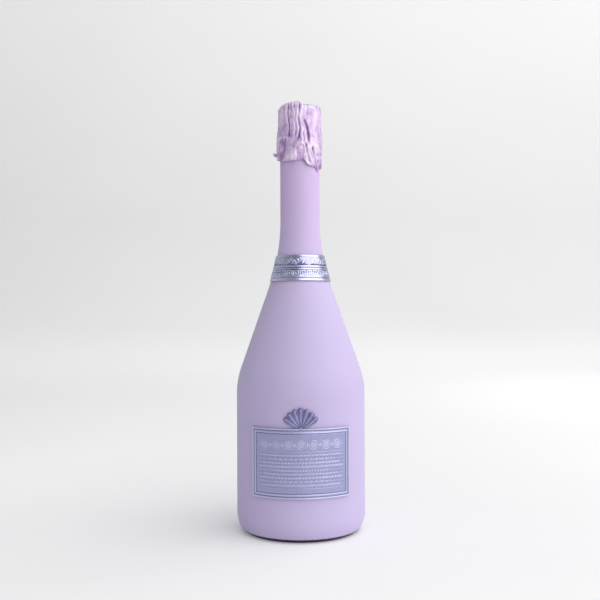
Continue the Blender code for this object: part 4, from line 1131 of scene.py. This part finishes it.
def crest_fan():
    """Fan of seven ribbed petals on a rounded foot."""
    petals, spread, length = 7, math.radians(62), 15.8
    columns, rows = petals * 26 + 1, 64
    turn = np.linspace(-spread, spread, columns)[None]
    phase = (turn / spread + 1) / 2 * petals
    across = abs(2 * (phase % 1) - 1)
    across[0, [0, -1]] = 1
    tip = 1 - 0.10 * abs(turn) / spread - 0.15 * across ** 2.6
    share = np.linspace(0.02, 1, rows)[:, None]
    reach = length * tip * share
    rounded = np.sqrt(np.clip(1 - (across * 0.96) ** 2, 0, 1))
    swell = 0.35 + 0.65 * np.sin(math.pi * (0.12 + 0.80 * share))
    rib = stroke(across * reach * 0.16, 0.16, 0.12) * between((0.25, 0.4), (0.86, 0.95), share)
    veins = 0.5 + 0.5 * np.cos(across * 9.0)
    bead = np.sqrt(np.clip(1 - ((share - 0.90) / 0.07) ** 2 - (across / 0.55) ** 2, 0, 1))
    foot = (1 - smooth(0.16, 0.20, share)) * (0.75 + 0.25 * np.cos(share * 60))
    relief = rounded * swell * (0.80 + 0.12 * veins) + 0.22 * rib + 0.28 * bead
    relief = np.clip(np.maximum(relief * smooth(0.16, 0.22, share), foot), 0, 1)
    fall = 1 - smooth(0.965, 1.0, share)
    proud = STANDOFF + 0.55 + 0.62 * relief * (0.35 + 0.65 * fall)
    along = reach * np.sin(turn)
    height = PLAQUE_TOP - 1.2 + reach * np.cos(turn)
    back = on_body(along[[0, -1]], height[[0, -1]], STANDOFF + 0.2)
    return sheet_shell(on_body(along, height, proud), back, 0.72 * relief - 0.30)


def make_plaque():
    """Plaque and crest pressed in one metal."""
    plate, fan = plaque_plate(), crest_fan()
    points, faces = together([plate[:2], fan[:2]])
    metal = pressed_finish("plaque_metal", srgb(98, 94, 148), srgb(172, 172, 214), srgb(222, 222, 249),
                           0.6, 0.34)
    made = make("plaque_relief", points, faces, [metal], marks={"relief": np.append(plate[2], fan[2])})
    return [(made, "plaque", "plaque_metal")]


# Stage: floor, light and camera, in metres

SWEEP_FRONT, SWEEP_BACK, SWEEP_BEND, SWEEP_TOP, SWEEP_HALF = -3.0, 1.5, 1.1, 4.2, 3.4
APRON_HALF, APRON_DROP = 14, 0.002
BACKDROP = 0.84
CAMERA_PLACE = (0, -0.6343, 0.1613)
CAMERA_LENS, CAMERA_SENSOR, CAMERA_SHIFT, CAMERA_ROLL = 51.0, 36.0, (-0.0006, 0.02), math.radians(0.22)

# Painted glow and painted shade of the sweep, which stand for the room's light: two places, then the value
# at each
KEY_WAY = (0.77, -0.64)
SHADE_TO_KEY, GLOW_TO_KEY = (0.5, 1.2), (1.45, 1.75, 0.0, 0.40)
GLOW_ACROSS, GLOW_AWAY = (-1.2, 1.2, 0.30, 0.46), (-0.1, 1.8, 0.34, 1.18)
GLOW_LOW, GLOW_HIGH = (0.0, 0.12, 1.0, 0.82), (0.5, 1.3, 1.0, 1.30)
GLOW_LEFT, GLOW_NEAR_LEFT = (-4.0, -1.2, 0.12, 0.0), (-0.25, 0.05, 0.06, 0.0)
GLOW_NEAR = (0.3, 0.9, 1.0, 0.0)

# World: colour, the way in which it is brightest, and its strength along that way
WORLD_TINT, WORLD_WAY, WORLD_SPAN = (0.96, 0.97, 1.0, 1), (0.12, 0.92, 0.36), (-0.95, 0.45, 0.20, 0.60)

# Lamps: name, place, aim, size, power, colour, shown in reflections
LAMPS = (("key", (0.80, -0.66, 0.88), (0, 0, 0.16), (2.3, 1.7), 17.1, (1.0, 0.985, 0.975), True),
         ("back_fill", (1.1, 0.9, 0.7), (0, 0, 0.15), (1.0, 1.0), 4.0, (1.0, 1.0, 1.0), False))


def sweep_finish():
    """Pale matt paper with painted light: a glow where the camera, gloss or glass shows it, uneven to stand
    for the room's light, and painted shade that darkens it toward the key lamp.
    """
    f = Finish("pale_sweep")
    mottle = f.cloud(3.0, 3)
    across, away, up = (f.axis(which) for which in range(3))
    toward_key = f.calc("ADD", *(f.calc("MULTIPLY", *pair) for pair in zip((across, away), KEY_WAY)))
    pale, paler, shaded = ((level, level, level, 1) for level in (0.84, 0.87, 0.52))
    # Painted shade: the paper's colour is darker toward the key lamp.
    colour = f.mix(f.span(toward_key, *SHADE_TO_KEY), f.mix(mottle, pale, paler), shaded)
    # Painted light: the glow, which varies over the sweep, stands for the room's light where the camera,
    # gloss and glass see it.
    glow = f.calc("MULTIPLY", f.span(across, *GLOW_ACROSS), f.span(away, *GLOW_AWAY))
    for rise in (GLOW_LOW, GLOW_HIGH):
        glow = f.calc("MULTIPLY", glow, f.span(up, *rise))
    near_left = f.calc("MULTIPLY", f.span(across, *GLOW_NEAR_LEFT), f.span(away, *GLOW_NEAR))
    for more in (f.span(toward_key, *GLOW_TO_KEY), f.span(across, *GLOW_LEFT), near_left):
        glow = f.calc("ADD", glow, more)
    path = f.add("LightPath", {})
    seen = f.calc("MAXIMUM", path["Is Camera Ray"], f.calc("MULTIPLY", path["Is Glossy Ray"], 0.5))
    seen = f.calc("MAXIMUM", seen, path["Is Transmission Ray"])
    return f.done(colour, f.span(mottle, 0, 1, 0.85, 0.9), [(f.noise(1400, 2), 0.0001, 0.1)],
                  Specular_IOR_Level=0.1, Emission_Color=(1, 1, 1, 1),
                  Emission_Strength=f.calc("MULTIPLY", glow, seen))


def make_stage():
    """Pale sweep that turns up far behind the object, and a wide apron round it."""
    bend = arc((SWEEP_BACK, SWEEP_BEND), (SWEEP_BEND, SWEEP_BEND), -math.pi / 2, 0, 24)
    line = [(SWEEP_FRONT, 0.0), (SWEEP_BACK, 0.0)] + bend + [(SWEEP_BACK + SWEEP_BEND, SWEEP_TOP)]
    across = np.linspace(-SWEEP_HALF, SWEEP_HALF, 60)
    reach = np.linspace(-APRON_HALF, APRON_HALF, 29)
    finish = sweep_finish()
    for name, xs, spots in (("floor_sweep", across, filled(line, 0.12)),
                            ("floor_apron", reach, [(y, -APRON_DROP) for y in reach])):
        points = np.array([[(x, y, z) for x in xs] for y, z in spots]).reshape(-1, 3)
        make(name, points / MM, grid_faces(len(spots), len(xs), False), [finish])


def make_light():
    """Large soft key from the right, a weak fill from behind, and a world that is paler behind."""
    f = Finish("studio", world=True)
    bpy.context.scene.world = f.owner
    toward = f.add("VectorMath", {0: f.place, 1: WORLD_WAY}, operation="DOT_PRODUCT")["Value"]
    path = f.add("LightPath", {})
    seen = f.calc("MAXIMUM", path["Is Camera Ray"], path["Is Transmission Ray"])
    shown = f.add("Mix", {"Factor": seen, "A": f.span(toward, *WORLD_SPAN), "B": BACKDROP})["Result"]
    f.wire(f.shader, {"Color": WORLD_TINT, "Strength": shown})
    for name, place, aim, size, power, colour, shiny in LAMPS:
        lamp = bpy.data.lights.new(name, "AREA")
        lamp.shape = "RECTANGLE"
        lamp.size, lamp.size_y = size
        lamp.energy = power
        lamp.color = colour
        holder = placed(name, lamp, place)
        holder.visible_glossy = shiny
        holder.rotation_euler = (Vector(aim) - Vector(place)).to_track_quat("-Z", "Y").to_euler()


def make_camera():
    """Level camera in front, at the height of the body's shoulder."""
    camera = bpy.data.cameras.new("camera")
    camera.lens = CAMERA_LENS
    camera.sensor_width = CAMERA_SENSOR
    camera.shift_x, camera.shift_y = CAMERA_SHIFT
    camera.clip_start = 0.01
    holder = placed("camera", camera, CAMERA_PLACE)
    holder.rotation_euler = (math.pi / 2, CAMERA_ROLL, 0)
    bpy.context.scene.camera = holder


make_camera()
make_stage()
make_light()

bottle = make_bottle()
hood, tab_finishes = make_hood()
for pieces, body in ((bottle + make_band() + make_plaque(), "bottle"), (make_cork(), "cork"),
                     (make_cage() + make_cap(), "cage"), (hood, "hood"), (make_tab(tab_finishes), "tab")):
    for piece, node, slot in pieces:
        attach(piece, body)
        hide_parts(node)

for node, finish in (("wine", wine_finish()), ("band_film", film_finish()), ("plaque_film", film_finish())):
    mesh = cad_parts[node].data
    mesh.materials.clear()
    mesh.materials.append(finish)

bpy.context.scene.view_settings.view_transform = "Standard"
